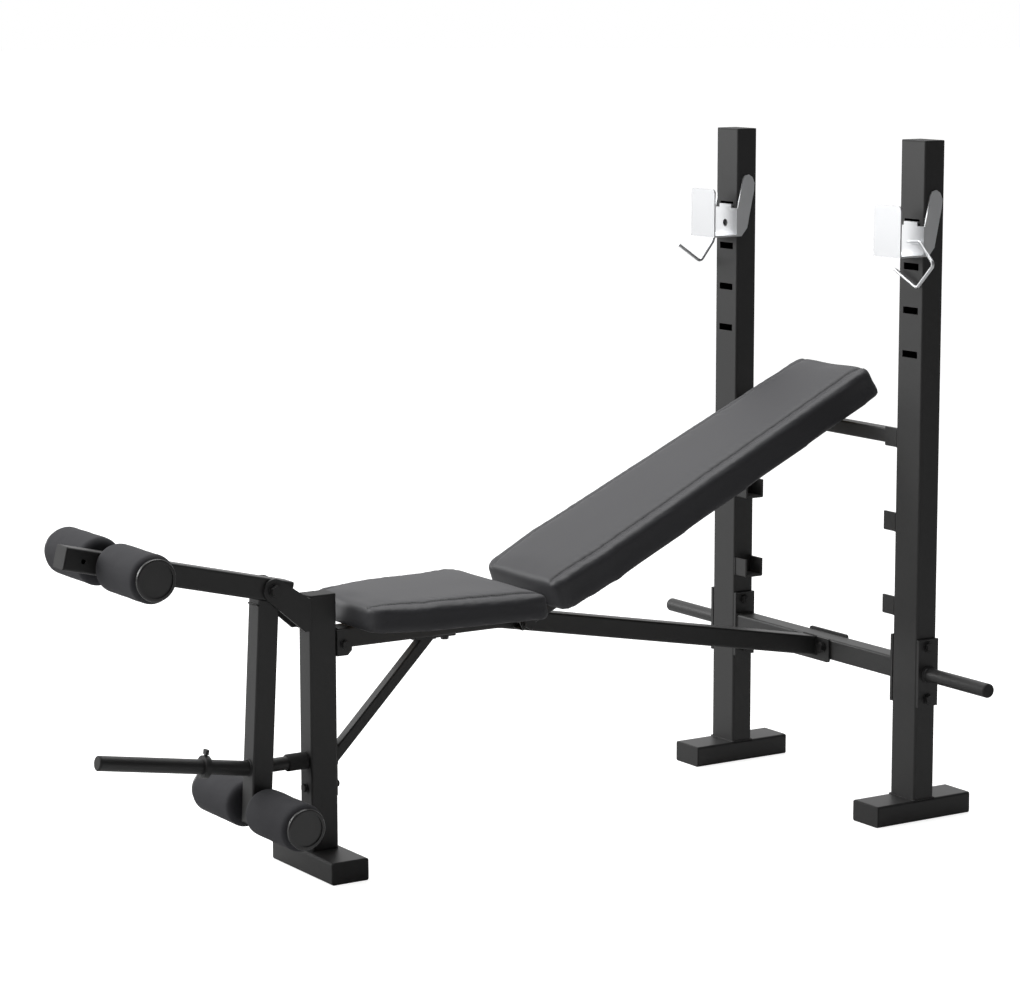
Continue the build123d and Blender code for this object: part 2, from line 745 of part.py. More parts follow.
def axle(centre):
    """Round axle tube across an arm."""
    end = roller_outer_x + body_gap
    return member(at_x(centre, -end), at_x(centre, end), round_section(peg_diameter))


def foam_roller(centre, side):
    """Foam roller with rounded ends, free to turn on its axle."""
    start = at_x(centre, side * roller_inner_x)
    end = at_x(centre, side * roller_outer_x)
    roller = rod(start, end, roller_diameter)
    rims = roller.edges().filter_by(GeomType.CIRCLE)
    roller = fillet(rims, 10)
    return roller - rod(at_x(centre, 0), at_x(centre, side * 200), peg_diameter + 2 * running_gap)


def roller_cap(centre, side):
    """Dished disc with a plug that closes an axle and keeps its roller on."""
    out = Vector(side, 0, 0)
    start = Vector(*at_x(centre, side * (roller_outer_x + body_gap)))
    disc = extrude(Plane(origin=start, z_dir=out) * Circle(34), 6)
    disc = fillet(disc.faces().sort_by(Axis(start, out))[-1].edges(), 3)
    disc -= extrude(Plane(origin=start + out * 3.5, z_dir=out) * Circle(28), 5)
    return disc + extrude(Plane(origin=start, z_dir=out * -1) * Circle(peg_diameter / 2 - tube_wall), 20)


def roller_caps():
    """The four roller caps."""
    return [roller_cap(centre, side) for centre in (upper_axle, lower_axle) for side in sides.values()]


def lever_weight_peg():
    """Weight peg that points forwards from the lower arm."""
    peg = member(peg_start, peg_start + peg_dir * (lever_peg_length - 4), round_section(peg_diameter))
    return peg - lower_block


def lever_peg_cap():
    """Domed plug in the lever peg's end."""
    return round_plug(tuple(peg_start + peg_dir * (lever_peg_length - 4)), tuple(peg_dir), peg_diameter)


collar_length = 10.0
collar_at = peg_start + peg_dir * collar_reach
screw_dir = Vector(0, sin(peg_up), cos(peg_up))
screw_size = 6.0


def plate_collar():
    """Ring that slides on the lever's peg, with a threaded boss for its thumb screw."""
    ring = rod(collar_at, collar_at + peg_dir * collar_length, 38)
    middle = collar_at + peg_dir * (collar_length / 2)
    ring -= rod(collar_at - peg_dir * 5, collar_at + peg_dir * 30, peg_diameter + 2 * running_gap)
    return ring - rod(middle, middle + screw_dir * 40, screw_size + 2 * running_gap)


def thumb_screw():
    """Thumb screw of the collar: a shank and a flat grip."""
    middle = collar_at + peg_dir * (collar_length / 2)
    shank = rod(middle + screw_dir * 13, middle + screw_dir * 22, screw_size)
    grip_plane = Plane(origin=middle + screw_dir * 21, x_dir=(1, 0, 0), z_dir=screw_dir)
    grip = extrude(grip_plane * RectangleRounded(13, 6, 2), 8)
    return shank + grip


stub_front_y = leg_top.Y + leg_dir.Y * (lever_pivot_z - stub_z) / cos(lean)
bumper_length = 37.0
bumper_end_y = post_front - body_gap


def stop_stub():
    """Short tube on the lower arm's rear that carries the rubber bumper."""
    stub = member((0, stub_front_y, stub_z), (0, bumper_end_y - 8, stub_z), round_section(peg_diameter - 2))
    return stub - lower_block


def rubber_bumper():
    """Rubber cup on the stop stub, resting against the post."""
    cup = rod((0, bumper_end_y - bumper_length, stub_z), (0, bumper_end_y, stub_z), peg_diameter + 4)
    cup = fillet(cup.edges().filter_by(GeomType.CIRCLE), 2)
    socket_start = (0, bumper_end_y - bumper_length - 1, stub_z)
    return cup - rod(socket_start, (0, bumper_end_y - 8, stub_z), peg_diameter - 2 + 2 * running_gap)


# ---- write every node -------------------------------------------------------
def main():
    os.makedirs("parts", exist_ok=True)
    for name, side in sides.items():
        save("upright_" + name, upright(side))
        save("rack_foot_" + name, rack_foot(side))
        save("weight_peg_" + name, peg_plate(side))
        save("cradles_" + name, *cradles(side))
        save("bar_catch_" + name, bar_catch(side))
        save("upper_roller_" + name, foam_roller(upper_axle, side))
        save("lower_roller_" + name, foam_roller(lower_axle, side))
    save("lock_pin_right", front_lock_pin())
    save("lock_pin_left", side_lock_pin())
    save("foot_end_caps", *foot_caps())
    save("upright_top_caps", *upright_caps())
    save("crossbar", crossbar())
    save("weight_peg_caps", *peg_end_caps())
    save("plate_bolts", *plate_bolts())
    save("support_bar", support_bar())
    save("support_bar_caps", *support_bar_caps())
    save("front_post", front_post())
    save("front_post_cap", tube_plug((0, post_y, post_top_z - 3), (0, 0, 1), post_width, post_depth, (1, 0, 0)))
    save("front_foot", front_foot())
    save("post_rail_bracket", post_rail_bracket())
    save("post_rail_bolt", post_rail_bolt())
    save("main_rail", main_rail())
    save("back_hinge_bush", back_hinge_bush())
    save("back_hinge_bolt", back_hinge_bolt())
    half = crossbar_size / 2
    save("rear_clamp_front", clamp_plate(crossbar_front - clamp_thickness, crossbar_z - half - 5, crossbar_z + half))
    save("rear_clamp_back", clamp_plate(crossbar_back, crossbar_z - half, crossbar_z + half + 4))
    save("rear_clamp_bolts", *clamp_bolts())
    save("diagonal_brace", diagonal_brace())
    save("brace_bolts", *brace_bolts())
    save("seat_board", seat_board())
    save("seat_pad", seat_pad())
    save("seat_brackets", *seat_brackets())
    save("seat_screws", *seat_screws())
    save("back_board", back_board())
    save("back_pad", back_pad())
    save("back_rails", back_rails())
    save("back_screws", *back_screws())
    save("lever_bracket", pivot_bracket())
    save("lever_bracket_bolts", *web_bolts())
    save("lever_pivot_bolt", pivot_bolt())
    save("lever_pivot_sleeve", pivot_sleeve())
    save("lever_upper_arm", upper_arm())
    save("lever_lower_arm", lower_arm())
    save("lever_end_caps", *lever_caps())
    save("upper_axle", axle(upper_axle))
    save("lower_axle", axle(lower_axle))
    save("roller_end_caps", *roller_caps())
    save("lever_weight_peg", lever_weight_peg())
    save("lever_peg_cap", lever_peg_cap())
    save("plate_collar", plate_collar())
    save("thumb_screw", thumb_screw())
    save("stop_stub", stop_stub())
    save("rubber_bumper", rubber_bumper())


if __name__ == "__main__":
    main()
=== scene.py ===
"""Finishes, pads, rollers, seams and welds of an incline bench with uprights, laid out as an add-on."""
import json
import math

import bmesh
import bpy
from bpy.props import FloatProperty, FloatVectorProperty, IntProperty, PointerProperty
from mathutils import Matrix, Vector, noise
from mathutils.bvhtree import BVHTree


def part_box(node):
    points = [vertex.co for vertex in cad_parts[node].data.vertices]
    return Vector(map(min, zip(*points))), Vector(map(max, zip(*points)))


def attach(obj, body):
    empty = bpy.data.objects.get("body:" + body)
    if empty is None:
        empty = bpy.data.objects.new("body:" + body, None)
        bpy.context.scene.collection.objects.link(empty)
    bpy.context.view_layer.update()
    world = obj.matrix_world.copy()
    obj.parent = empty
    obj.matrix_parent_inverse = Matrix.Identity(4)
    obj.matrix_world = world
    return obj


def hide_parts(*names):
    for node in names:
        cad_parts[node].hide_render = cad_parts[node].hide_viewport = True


bl_info = {
    "name": "Incline bench with uprights",
    "version": (1, 0, 0),
    "blender": (4, 5, 0),
    "location": "3D View > Sidebar > Bench",
    "description": "Gives the bench its finishes, stuffed pads, foam rollers, seams, welds and stage",
    "category": "Object",
}

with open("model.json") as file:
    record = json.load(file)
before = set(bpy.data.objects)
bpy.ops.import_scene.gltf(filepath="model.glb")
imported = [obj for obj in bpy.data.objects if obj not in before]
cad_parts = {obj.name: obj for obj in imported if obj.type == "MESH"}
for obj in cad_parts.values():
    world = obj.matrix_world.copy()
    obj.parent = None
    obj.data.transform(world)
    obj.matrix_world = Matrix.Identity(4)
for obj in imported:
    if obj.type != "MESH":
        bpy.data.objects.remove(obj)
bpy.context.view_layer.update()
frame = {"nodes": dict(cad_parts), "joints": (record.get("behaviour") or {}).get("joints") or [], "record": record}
NODES = frame["nodes"]
JOINTS = {joint["name"]: joint for joint in frame["joints"]}
MM = 0.001
RACK_Y = (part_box("upright_right")[0].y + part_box("upright_right")[1].y) / 2
SEAT_LOW, SEAT_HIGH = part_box("seat_pad")
BACK_ANGLE = math.radians(25.3)
X_AXIS, Y_AXIS, Z_AXIS = Vector((1, 0, 0)), Vector((0, 1, 0)), Vector((0, 0, 1))

# A cover's rim stands round its board; from there up the cover is free to fill.
RIM_WIDTH = 10.2 * MM
RECESS_DEPTH = 12.2 * MM
HELD_HEIGHT = 13.5 * MM
START_MARGIN = 1.5 * MM
CROWN = 3 * MM
STITCH_OFFSET = 3.6 * MM


# ---- sizes and colours that a user would change ------------------------------
class BenchSteel(bpy.types.PropertyGroup):
    """Finish of the tubes, plates and fittings."""

    coat: FloatVectorProperty(
        name="Coat", description="Powder coat colour", subtype="COLOR", size=3,
        min=0, max=1, default=(0.009, 0.009, 0.0093))
    gloss: FloatProperty(
        name="Coat roughness", description="Roughness of the powder coat", min=0, max=1, default=0.31)
    edge: FloatProperty(
        name="Edge radius", description="Rounding seen on sheared edges", unit="LENGTH", default=0.9 * MM)
    bead: FloatProperty(
        name="Weld bead", description="Half width of a weld bead", unit="LENGTH", default=2.0 * MM)
    ripple: FloatProperty(
        name="Weld ripple", description="Distance between a weld's ripples", unit="LENGTH", default=2.2 * MM)


class BenchPads(bpy.types.PropertyGroup):
    """Upholstery of the seat and the backrest."""

    vinyl: FloatVectorProperty(
        name="Vinyl", description="Cover colour", subtype="COLOR", size=3,
        min=0, max=1, default=(0.0105, 0.0105, 0.0108))
    seam_inset: FloatProperty(
        name="Seam inset", description="From a pad's edge to its seam", unit="LENGTH", default=29 * MM)
    seam_depth: FloatProperty(
        name="Seam depth", description="Depth of a sewn seam", unit="LENGTH", default=3.4 * MM)
    seam_width: FloatProperty(
        name="Seam width", description="Half width of a seam's groove", unit="LENGTH", default=4.5 * MM)
    stitch: FloatProperty(
        name="Stitch length", description="From one stitch to the next", unit="LENGTH", default=5 * MM)
    pressure: FloatProperty(
        name="Stuffing", description="Pressure that fills the covers", min=0, max=20, default=4.0)
    frames: IntProperty(
        name="Frames", description="Steps that the covers take to fill", min=2, max=60, default=20)
    swell: FloatProperty(
        name="Swell", description="Most that a cover moves as it fills", unit="LENGTH", default=6 * MM)
    firmness: IntProperty(
        name="Firmness", description="How far the foam spreads each pull", min=0, max=60, default=22)


class BenchFoam(bpy.types.PropertyGroup):
    """Foam rollers of the leg developer."""

    radius: FloatProperty(name="Radius", description="Roller radius", unit="LENGTH", default=40 * MM)
    rim: FloatProperty(name="Rim", description="Rounding of a roller's ends", unit="LENGTH", default=13 * MM)
    bore: FloatProperty(name="Bore", description="Radius of the hole", unit="LENGTH", default=12.6 * MM)
    segments: IntProperty(name="Segments", description="Points round a roller", min=24, max=256, default=112)


class BenchStage(bpy.types.PropertyGroup):
    """Floor, lights and camera."""

    floor: FloatVectorProperty(
        name="Floor", description="Floor colour", subtype="COLOR", size=3, min=0, max=1,
        default=(0.60, 0.60, 0.60))
    lens: FloatProperty(name="Lens", description="Focal length in millimetres", default=115.91)
    key: FloatProperty(name="Key light", description="Power of the key light in watts", default=155.0)


GROUPS = {"steel": BenchSteel, "pads": BenchPads, "foam": BenchFoam, "stage": BenchStage}


def sizes(group):
    """The scene's own copy of one group of sizes."""
    return getattr(bpy.context.scene, "bench_" + group)


# ---- nodes -------------------------------------------------------------------
def node(tree, kind, settings=None, sockets=None):
    """A node with its settings, and its inputs' values or links by name or number."""
    made = tree.nodes.new(kind)
    for name, value in (settings or {}).items():
        setattr(made, name, value)
    for name, value in (sockets or {}).items():
        if isinstance(value, bpy.types.NodeSocket):
            tree.links.new(value, made.inputs[name])
        else:
            made.inputs[name].default_value = value
    return made


def maths(tree, operation, *values):
    """The result of a Math node."""
    made = node(tree, "ShaderNodeMath", {"operation": operation}, dict(enumerate(values)))
    return made.outputs[0]


def spread(tree, value, low, high, to_low, to_high):
    """A value carried from one range to another, and held inside it."""
    made = node(tree, "ShaderNodeMapRange", None, {
        "Value": value, "From Min": low, "From Max": high, "To Min": to_low, "To Max": to_high})
    return made.outputs["Result"]


def blend_colours(tree, factor, first, second):
    """A mix of two colours."""
    made = node(tree, "ShaderNodeMix", {"data_type": "RGBA"}, {0: factor, 6: first, 7: second})
    return made.outputs[2]


def shade(colour, factor=1.0):
    """A colour scaled, with its fourth number."""
    return (*(min(1.0, channel * factor) for channel in colour), 1.0)


def effect(name, inputs, outputs):
    """An empty shader group with named inputs and outputs."""
    tree = bpy.data.node_groups.new(name, "ShaderNodeTree")
    for label, kind, value in inputs:
        socket = tree.interface.new_socket(label, in_out="INPUT", socket_type="NodeSocket" + kind)
        if value is not None:
            socket.default_value = value
    for label, kind in outputs:
        tree.interface.new_socket(label, in_out="OUTPUT", socket_type="NodeSocket" + kind)
    return tree, node(tree, "NodeGroupInput").outputs, node(tree, "NodeGroupOutput").inputs


def noise_value(tree, vector, scale, detail=3.0, rough=0.5):
    """Smooth noise from 0 to 1."""
    made = node(tree, "ShaderNodeTexNoise", None, {
        "Vector": vector, "Scale": scale, "Detail": detail, "Roughness": rough})
    return made.outputs[0]


def relief(tree, height, distance, strength=1.0, **under):
    """The normal of a surface raised by a height; Normal may name the surface under it."""
    return node(tree, "ShaderNodeBump", None, {
        "Strength": strength, "Distance": distance, "Height": height, **under}).outputs[0]


def stretched(tree, place, scale):
    """Coordinates scaled by an amount for each axis."""
    return node(tree, "ShaderNodeMapping", None, {"Vector": place, "Scale": scale}).outputs[0]


def build_mottle():
    """Cloudy value between two limits, for gloss and colour that are never quite even."""
    tree, given, result = effect(
        "Mottle",
        [("Vector", "Vector", None), ("Scale", "Float", 20.0), ("Low", "Float", 0.3), ("High", "Float", 0.5)],
        [("Value", "Float"), ("Mask", "Float")])
    broad = noise_value(tree, given["Vector"], given["Scale"], 4.0, 0.6)
    finer, fine_part = 7.3, 0.3
    fine = noise_value(tree, given["Vector"], maths(tree, "MULTIPLY", given["Scale"], finer), 2.0)
    mixed = maths(tree, "MULTIPLY_ADD", fine, fine_part, maths(tree, "MULTIPLY", broad, 1 - fine_part))
    mask = spread(tree, mixed, 0.3, 0.7, 0.0, 1.0)
    tree.links.new(mask, result["Mask"])
    tree.links.new(spread(tree, mask, 0.0, 1.0, given["Low"], given["High"]), result["Value"])
    return tree


def build_edges():
    """Softened edges: a rounded normal, and a mask that is 1 along edges, which the finishes use for worn edges
    and the powder coat also for a painted edge highlight.
    """
    tree, given, result = effect(
        "Softened edges",
        [("Vector", "Vector", None), ("Radius", "Float", 0.001), ("Break-up", "Float", 90.0)],
        [("Mask", "Float"), ("Normal", "Vector")])
    rounded = node(tree, "ShaderNodeBevel", {"samples": 4}, {"Radius": given["Radius"]}).outputs[0]
    flat = node(tree, "ShaderNodeNewGeometry").outputs["Normal"]
    dot = node(tree, "ShaderNodeVectorMath", {"operation": "DOT_PRODUCT"}, {0: rounded, 1: flat})
    turned = spread(tree, dot.outputs["Value"], 0.995, 0.90, 0.0, 1.0)
    broken = noise_value(tree, given["Vector"], given["Break-up"], 5.0, 0.7)
    patches = spread(tree, broken, 0.45, 0.7, 0.0, 1.0)
    tree.links.new(maths(tree, "MULTIPLY", turned, patches), result["Mask"])
    tree.links.new(rounded, result["Normal"])
    return tree


def build_texture_bump():
    """Fine all-over relief, such as orange peel, foam pores or moulded grain."""
    tree, given, result = effect(
        "Fine relief",
        [("Vector", "Vector", None), ("Scale", "Float", 800.0), ("Depth", "Float", 0.00005),
         ("Cells", "Float", 0.0), ("Normal", "Vector", None)],
        [("Height", "Float"), ("Normal", "Vector")])
    smooth = noise_value(tree, given["Vector"], given["Scale"], 3.0, 0.55)
    cells = node(tree, "ShaderNodeTexVoronoi", {"feature": "F1"}, {
        "Vector": given["Vector"], "Scale": given["Scale"]}).outputs["Distance"]
    height = node(tree, "ShaderNodeMix", {"data_type": "FLOAT"}, {
        0: given["Cells"], 2: smooth, 3: cells}).outputs[0]
    tree.links.new(height, result["Height"])
    tree.links.new(relief(tree, height, given["Depth"], Normal=given["Normal"]), result["Normal"])
    return tree


def build_grain():
    """Upholstery grain: pebbles parted by narrow creases, over a slow waviness."""
    tree, given, result = effect(
        "Vinyl grain",
        [("Vector", "Vector", None), ("Scale", "Float", 620.0), ("Depth", "Float", 0.00012)],
        [("Crease", "Float"), ("Normal", "Vector")])
    warp = node(tree, "ShaderNodeTexNoise", None, {
        "Vector": given["Vector"], "Scale": 240.0, "Detail": 2.0}).outputs["Color"]
    shift = node(tree, "ShaderNodeVectorMath", {"operation": "SCALE"}, {0: warp, "Scale": 0.0022})
    moved = node(tree, "ShaderNodeVectorMath", {"operation": "ADD"}, {
        0: given["Vector"], 1: shift.outputs[0]}).outputs[0]
    border = node(tree, "ShaderNodeTexVoronoi", {"feature": "DISTANCE_TO_EDGE"}, {
        "Vector": moved, "Scale": given["Scale"]}).outputs["Distance"]
    pebble = spread(tree, border, 0.0, 0.28, 0.0, 1.0)
    wave, wave_height = noise_value(tree, given["Vector"], 34.0, 3.0), 7.0
    height = maths(tree, "MULTIPLY_ADD", wave, wave_height, pebble)
    tree.links.new(maths(tree, "SUBTRACT", 1.0, pebble), result["Crease"])
    tree.links.new(relief(tree, height, given["Depth"]), result["Normal"])
    return tree


def build_dust():
    """Faint dust on faces that look up."""
    tree, given, result = effect(
        "Settled dust",
        [("Vector", "Vector", None), ("Amount", "Float", 0.2)],
        [("Mask", "Float")])
    normal = node(tree, "ShaderNodeNewGeometry").outputs["Normal"]
    up = node(tree, "ShaderNodeSeparateXYZ", None, {0: normal}).outputs[2]
    facing = spread(tree, up, 0.55, 0.98, 0.0, 1.0)
    cloud = spread(tree, noise_value(tree, given["Vector"], 28.0, 6.0, 0.65), 0.35, 0.75, 0.0, 1.0)
    both = maths(tree, "MULTIPLY", facing, cloud)
    tree.links.new(maths(tree, "MULTIPLY", both, given["Amount"]), result["Mask"])
    return tree


EFFECTS = {}


def use(tree, name, **values):
    """A shared effect placed in a material, built the first time; an underscore stands for a hyphen."""
    builders = {
        "Mottle": build_mottle, "Softened edges": build_edges, "Fine relief": build_texture_bump,
        "Vinyl grain": build_grain, "Settled dust": build_dust}
    if name not in EFFECTS:
        EFFECTS[name] = builders[name]()
    sockets = {label.replace("_", "-"): value for label, value in values.items()}
    return node(tree, "ShaderNodeGroup", {"node_tree": EFFECTS[name]}, sockets).outputs


def new_finish(name):
    """An empty material: its tree, its shader's inputs and the object's coordinates."""
    made = bpy.data.materials.new(name)
    made.use_nodes = True
    tree = made.node_tree
    tree.nodes.clear()
    shader = node(tree, "ShaderNodeBsdfPrincipled")
    node(tree, "ShaderNodeOutputMaterial", None, {"Surface": shader.outputs[0]})
    place = node(tree, "ShaderNodeTexCoord").outputs["Object"]
    return made, tree, shader.inputs, place


def connect(tree, inputs, **links):
    """Link results to the shader's inputs; a name's underscores stand for spaces."""
    for label, value in links.items():
        tree.links.new(value, inputs[label.replace("_", " ")])


# ---- finishes ----------------------------------------------------------------
def powder_coat():
    """Semi-gloss powder coat with orange peel and soft edges, painted lighter along them as a little rubbing and
    as a painted edge highlight.
    """
    steel = sizes("steel")
    made, tree, shader, place = new_finish("powder_coat")
    edges = use(tree, "Softened edges", Vector=place, Radius=steel.edge)
    cloud = use(tree, "Mottle", Vector=place, Scale=14.0, Low=steel.gloss - 0.05, High=steel.gloss + 0.07)
    peel = use(tree, "Fine relief", Vector=place, Scale=620.0, Depth=0.00005, Normal=edges["Normal"])
    tint = blend_colours(tree, cloud["Mask"], shade(steel.coat, 0.85), shade(steel.coat, 1.25))
    dust = use(tree, "Settled dust", Vector=place, Amount=0.05)["Mask"]
    dusty = blend_colours(tree, dust, tint, (0.24, 0.235, 0.225, 1))
    # Edges painted lighter: partly rubbed wear of the coat, partly a painted edge highlight.
    rubbed = maths(tree, "MULTIPLY", edges["Mask"], 0.5)
    colour = blend_colours(tree, rubbed, dusty, (0.10, 0.10, 0.102, 1))
    connect(tree, shader, Base_Color=colour, Roughness=cloud["Value"], Normal=peel["Normal"])
    shader["Specular IOR Level"].default_value = 0.5
    return made


def zinc_plate():
    """Bright zinc plate with a cloudy passivated sheen and fine rolling marks."""
    made, tree, shader, place = new_finish("zinc_plate")
    edges = use(tree, "Softened edges", Vector=place, Radius=0.0006)
    cloud = use(tree, "Mottle", Vector=place, Scale=55.0, Low=0.34, High=0.50)
    marks = noise_value(tree, stretched(tree, place, (60.0, 60.0, 900.0)), 1.0, 2.0)
    bump = relief(tree, marks, 0.00003, 0.5, Normal=edges["Normal"])
    colour = blend_colours(tree, cloud["Mask"], (0.23, 0.235, 0.23, 1), (0.31, 0.315, 0.31, 1))
    worn = blend_colours(tree, edges["Mask"], colour, (0.48, 0.48, 0.48, 1))
    connect(tree, shader, Base_Color=worn, Roughness=cloud["Value"], Normal=bump)
    shader["Metallic"].default_value = 0.55
    return made


def moulded(name, colour, rough, depth):
    """Moulded plastic or rubber with a fine spark-eroded grain."""
    made, tree, shader, place = new_finish(name)
    edges = use(tree, "Softened edges", Vector=place, Radius=0.0007)
    cloud = use(tree, "Mottle", Vector=place, Scale=32.0, Low=rough - 0.05, High=rough + 0.08)
    grain = use(tree, "Fine relief", Vector=place, Scale=1500.0, Depth=depth, Cells=0.6,
                Normal=edges["Normal"])
    tint = blend_colours(tree, cloud["Mask"], shade(colour, 0.85), shade(colour, 1.2))
    scuffed = maths(tree, "MULTIPLY", edges["Mask"], 0.45)
    worn = blend_colours(tree, scuffed, tint, shade(colour, 2.6))
    dust = use(tree, "Settled dust", Vector=place, Amount=0.08)["Mask"]
    connect(tree, shader, Base_Color=blend_colours(tree, dust, worn, (0.22, 0.215, 0.205, 1)),
            Roughness=cloud["Value"], Normal=grain["Normal"])
    return made


def black_oxide():
    """Black-oxide steel, brighter where spanners have rubbed its corners."""
    made, tree, shader, place = new_finish("black_fastener")
    edges = use(tree, "Softened edges", Vector=place, Radius=0.0006, Break_up=260.0)
    cloud = use(tree, "Mottle", Vector=place, Scale=90.0, Low=0.30, High=0.50)
    relief = use(tree, "Fine relief", Vector=place, Scale=900.0, Depth=0.00004, Normal=edges["Normal"])
    tint = blend_colours(tree, cloud["Mask"], (0.035, 0.034, 0.034, 1), (0.065, 0.064, 0.066, 1))
    connect(tree, shader, Base_Color=blend_colours(tree, edges["Mask"], tint, (0.30, 0.29, 0.28, 1)),
            Roughness=cloud["Value"], Normal=relief["Normal"],
            Metallic=spread(tree, edges["Mask"], 0.0, 1.0, 0.55, 1.0))
    return made


def plywood():
    """Raw plywood: long grain with darker growth lines and fine pores."""
    made, tree, shader, place = new_finish("plywood")
    along = stretched(tree, place, (26.0, 2.2, 26.0))
    bands = node(tree, "ShaderNodeTexWave", {"wave_type": "BANDS", "bands_direction": "X"}, {
        "Vector": along, "Scale": 1.1, "Distortion": 7.0, "Detail": 4.0, "Detail Scale": 1.6}).outputs["Fac"]
    pores = noise_value(tree, stretched(tree, place, (1400.0, 60.0, 1400.0)), 1.0, 2.0)
    cloud = use(tree, "Mottle", Vector=place, Scale=9.0, Low=0.62, High=0.80)
    pale = blend_colours(tree, cloud["Mask"], (0.52, 0.37, 0.22, 1), (0.62, 0.46, 0.29, 1))
    lined = blend_colours(tree, maths(tree, "MULTIPLY", bands, 0.55), pale, (0.30, 0.18, 0.09, 1))
    colour = blend_colours(tree, spread(tree, pores, 0.55, 0.75, 0.0, 0.6), lined, (0.20, 0.12, 0.06, 1))
    connect(tree, shader, Base_Color=colour, Roughness=cloud["Value"],
            Normal=relief(tree, pores, 0.0002, 0.6))
    return made


def vinyl():
    """Grained upholstery vinyl, duller in its creases, with painted shade darkening them."""
    pads = sizes("pads")
    made, tree, shader, place = new_finish("vinyl")
    grain = use(tree, "Vinyl grain", Vector=place, Scale=620.0, Depth=0.00010)
    cloud = use(tree, "Mottle", Vector=place, Scale=10.0, Low=0.40, High=0.54)
    tint = blend_colours(tree, cloud["Mask"], shade(pads.vinyl, 0.6), shade(pads.vinyl, 1.15))
    # Painted shade: the colour goes darker in the grain's creases.
    colour = blend_colours(tree, maths(tree, "MULTIPLY", grain["Crease"], 0.5), tint, shade(pads.vinyl, 0.5))
    rough = maths(tree, "MULTIPLY_ADD", grain["Crease"], 0.16, cloud["Value"])
    dust = use(tree, "Settled dust", Vector=place, Amount=0.03)["Mask"]
    connect(tree, shader, Base_Color=blend_colours(tree, dust, colour, (0.20, 0.195, 0.19, 1)),
            Roughness=rough, Normal=grain["Normal"])
    shader["Specular IOR Level"].default_value = 0.22
    return made


def closed_foam():
    """Matte closed-cell foam with open pores on its skin, with painted shade darkening the pores."""
    made, tree, shader, place = new_finish("foam")
    pores = use(tree, "Fine relief", Vector=place, Scale=760.0, Depth=0.00035, Cells=0.65)
    cloud = use(tree, "Mottle", Vector=place, Scale=26.0, Low=0.82, High=0.97)
    tint = blend_colours(tree, cloud["Mask"], (0.011, 0.011, 0.0115, 1), (0.021, 0.021, 0.0215, 1))
    # Painted shade: the colour goes darker in the low places of the pores' relief.
    pore_shade = spread(tree, pores["Height"], 0.15, 0.60, 0.55, 0.0)
    connect(tree, shader, Base_Color=blend_colours(tree, pore_shade, tint, (0.007, 0.007, 0.007, 1)),
            Roughness=cloud["Value"], Normal=pores["Normal"])
    shader["Sheen Weight"].default_value = 0.05
    shader["Sheen Roughness"].default_value = 0.6
    return made


def sewing_thread():
    """Twisted polyester thread."""
    made, tree, shader, place = new_finish("thread")
    twist = node(tree, "ShaderNodeTexWave", {"wave_type": "BANDS", "bands_direction": "DIAGONAL"}, {
        "Vector": place, "Scale": 900.0, "Distortion": 1.5}).outputs["Fac"]
    cloud = use(tree, "Mottle", Vector=place, Scale=60.0, Low=0.55, High=0.75)
    colour = blend_colours(tree, twist, (0.018, 0.018, 0.018, 1), (0.06, 0.06, 0.062, 1))
    connect(tree, shader, Base_Color=colour, Roughness=cloud["Value"],
            Normal=relief(tree, twist, 0.0001, 0.6))
    return made


def floor_finish():
    """Plain pale studio floor, almost even, with a glow that only the camera sees."""
    made, tree, shader, place = new_finish("studio_floor")
    cloud = use(tree, "Mottle", Vector=place, Scale=0.7, Low=0.90, High=0.98)
    pale = sizes("stage").floor
    connect(tree, shader, Base_Color=blend_colours(tree, cloud["Mask"], shade(pale, 0.995), shade(pale)),
            Roughness=cloud["Value"])
    shader["Specular IOR Level"].default_value = 0.0
    shader["Emission Color"].default_value = (1, 1, 1, 1)
    seen, glow = node(tree, "ShaderNodeLightPath").outputs["Is Camera Ray"], 0.80
    tree.links.new(maths(tree, "MULTIPLY", seen, glow), shader["Emission Strength"])
    return made


FINISHES = {
    "powder_coat": powder_coat,
    "zinc_plate": zinc_plate,
    "black_plug": lambda: moulded("black_plug", (0.014, 0.014, 0.014), 0.34, 0.00003),
    "roller_disc": lambda: moulded("roller_disc", (0.035, 0.035, 0.036), 0.30, 0.00002),
    "nylon": lambda: moulded("nylon", (0.60, 0.58, 0.52), 0.50, 0.00003),
    "bumper_rubber": lambda: moulded("bumper_rubber", (0.014, 0.014, 0.014), 0.66, 0.00006),
    "black_fastener": black_oxide,
    "plywood": plywood,
    "vinyl": vinyl,
    "foam": closed_foam,
    "thread": sewing_thread,
    "studio_floor": floor_finish,
}


def finish(name):
    """A finish by its name, made once."""
    return bpy.data.materials.get(name) or FINISHES[name]()


def finish_nodes(*slots):
    """Give every shown node of these record slots its finish."""
    for subpart in frame["record"]["subparts"]:
        if subpart["material_slot"] in slots:
            mesh = NODES[subpart["node"]].data
            mesh.materials.clear()
            mesh.materials.append(finish(subpart["material_slot"]))


# ---- meshes ------------------------------------------------------------------
def new_piece(name, mesh):
    """An object at the origin for a mesh, in the scene."""
    made = bpy.data.objects.new(name, mesh)
    bpy.context.scene.collection.objects.link(made)
    return made


def to_mesh(shape, name):
    """A new mesh from a working shape, which is then freed."""
    mesh = bpy.data.meshes.new(name)
    shape.to_mesh(mesh)
    shape.free()
    return mesh


def smoothed(mesh, slot):
    """Shade a mesh smooth and give it one finish."""
    for polygon in mesh.polygons:
        polygon.use_smooth = True
    mesh.materials.clear()
    mesh.materials.append(finish(slot))


def settle(piece):
    """Apply a piece's modifiers to its mesh."""
    view = bpy.context.evaluated_depsgraph_get()
    view.update()
    done = bpy.data.meshes.new_from_object(piece.evaluated_get(view))
    piece.modifiers.clear()
    old = piece.data
    piece.data = done
    bpy.data.meshes.remove(old)


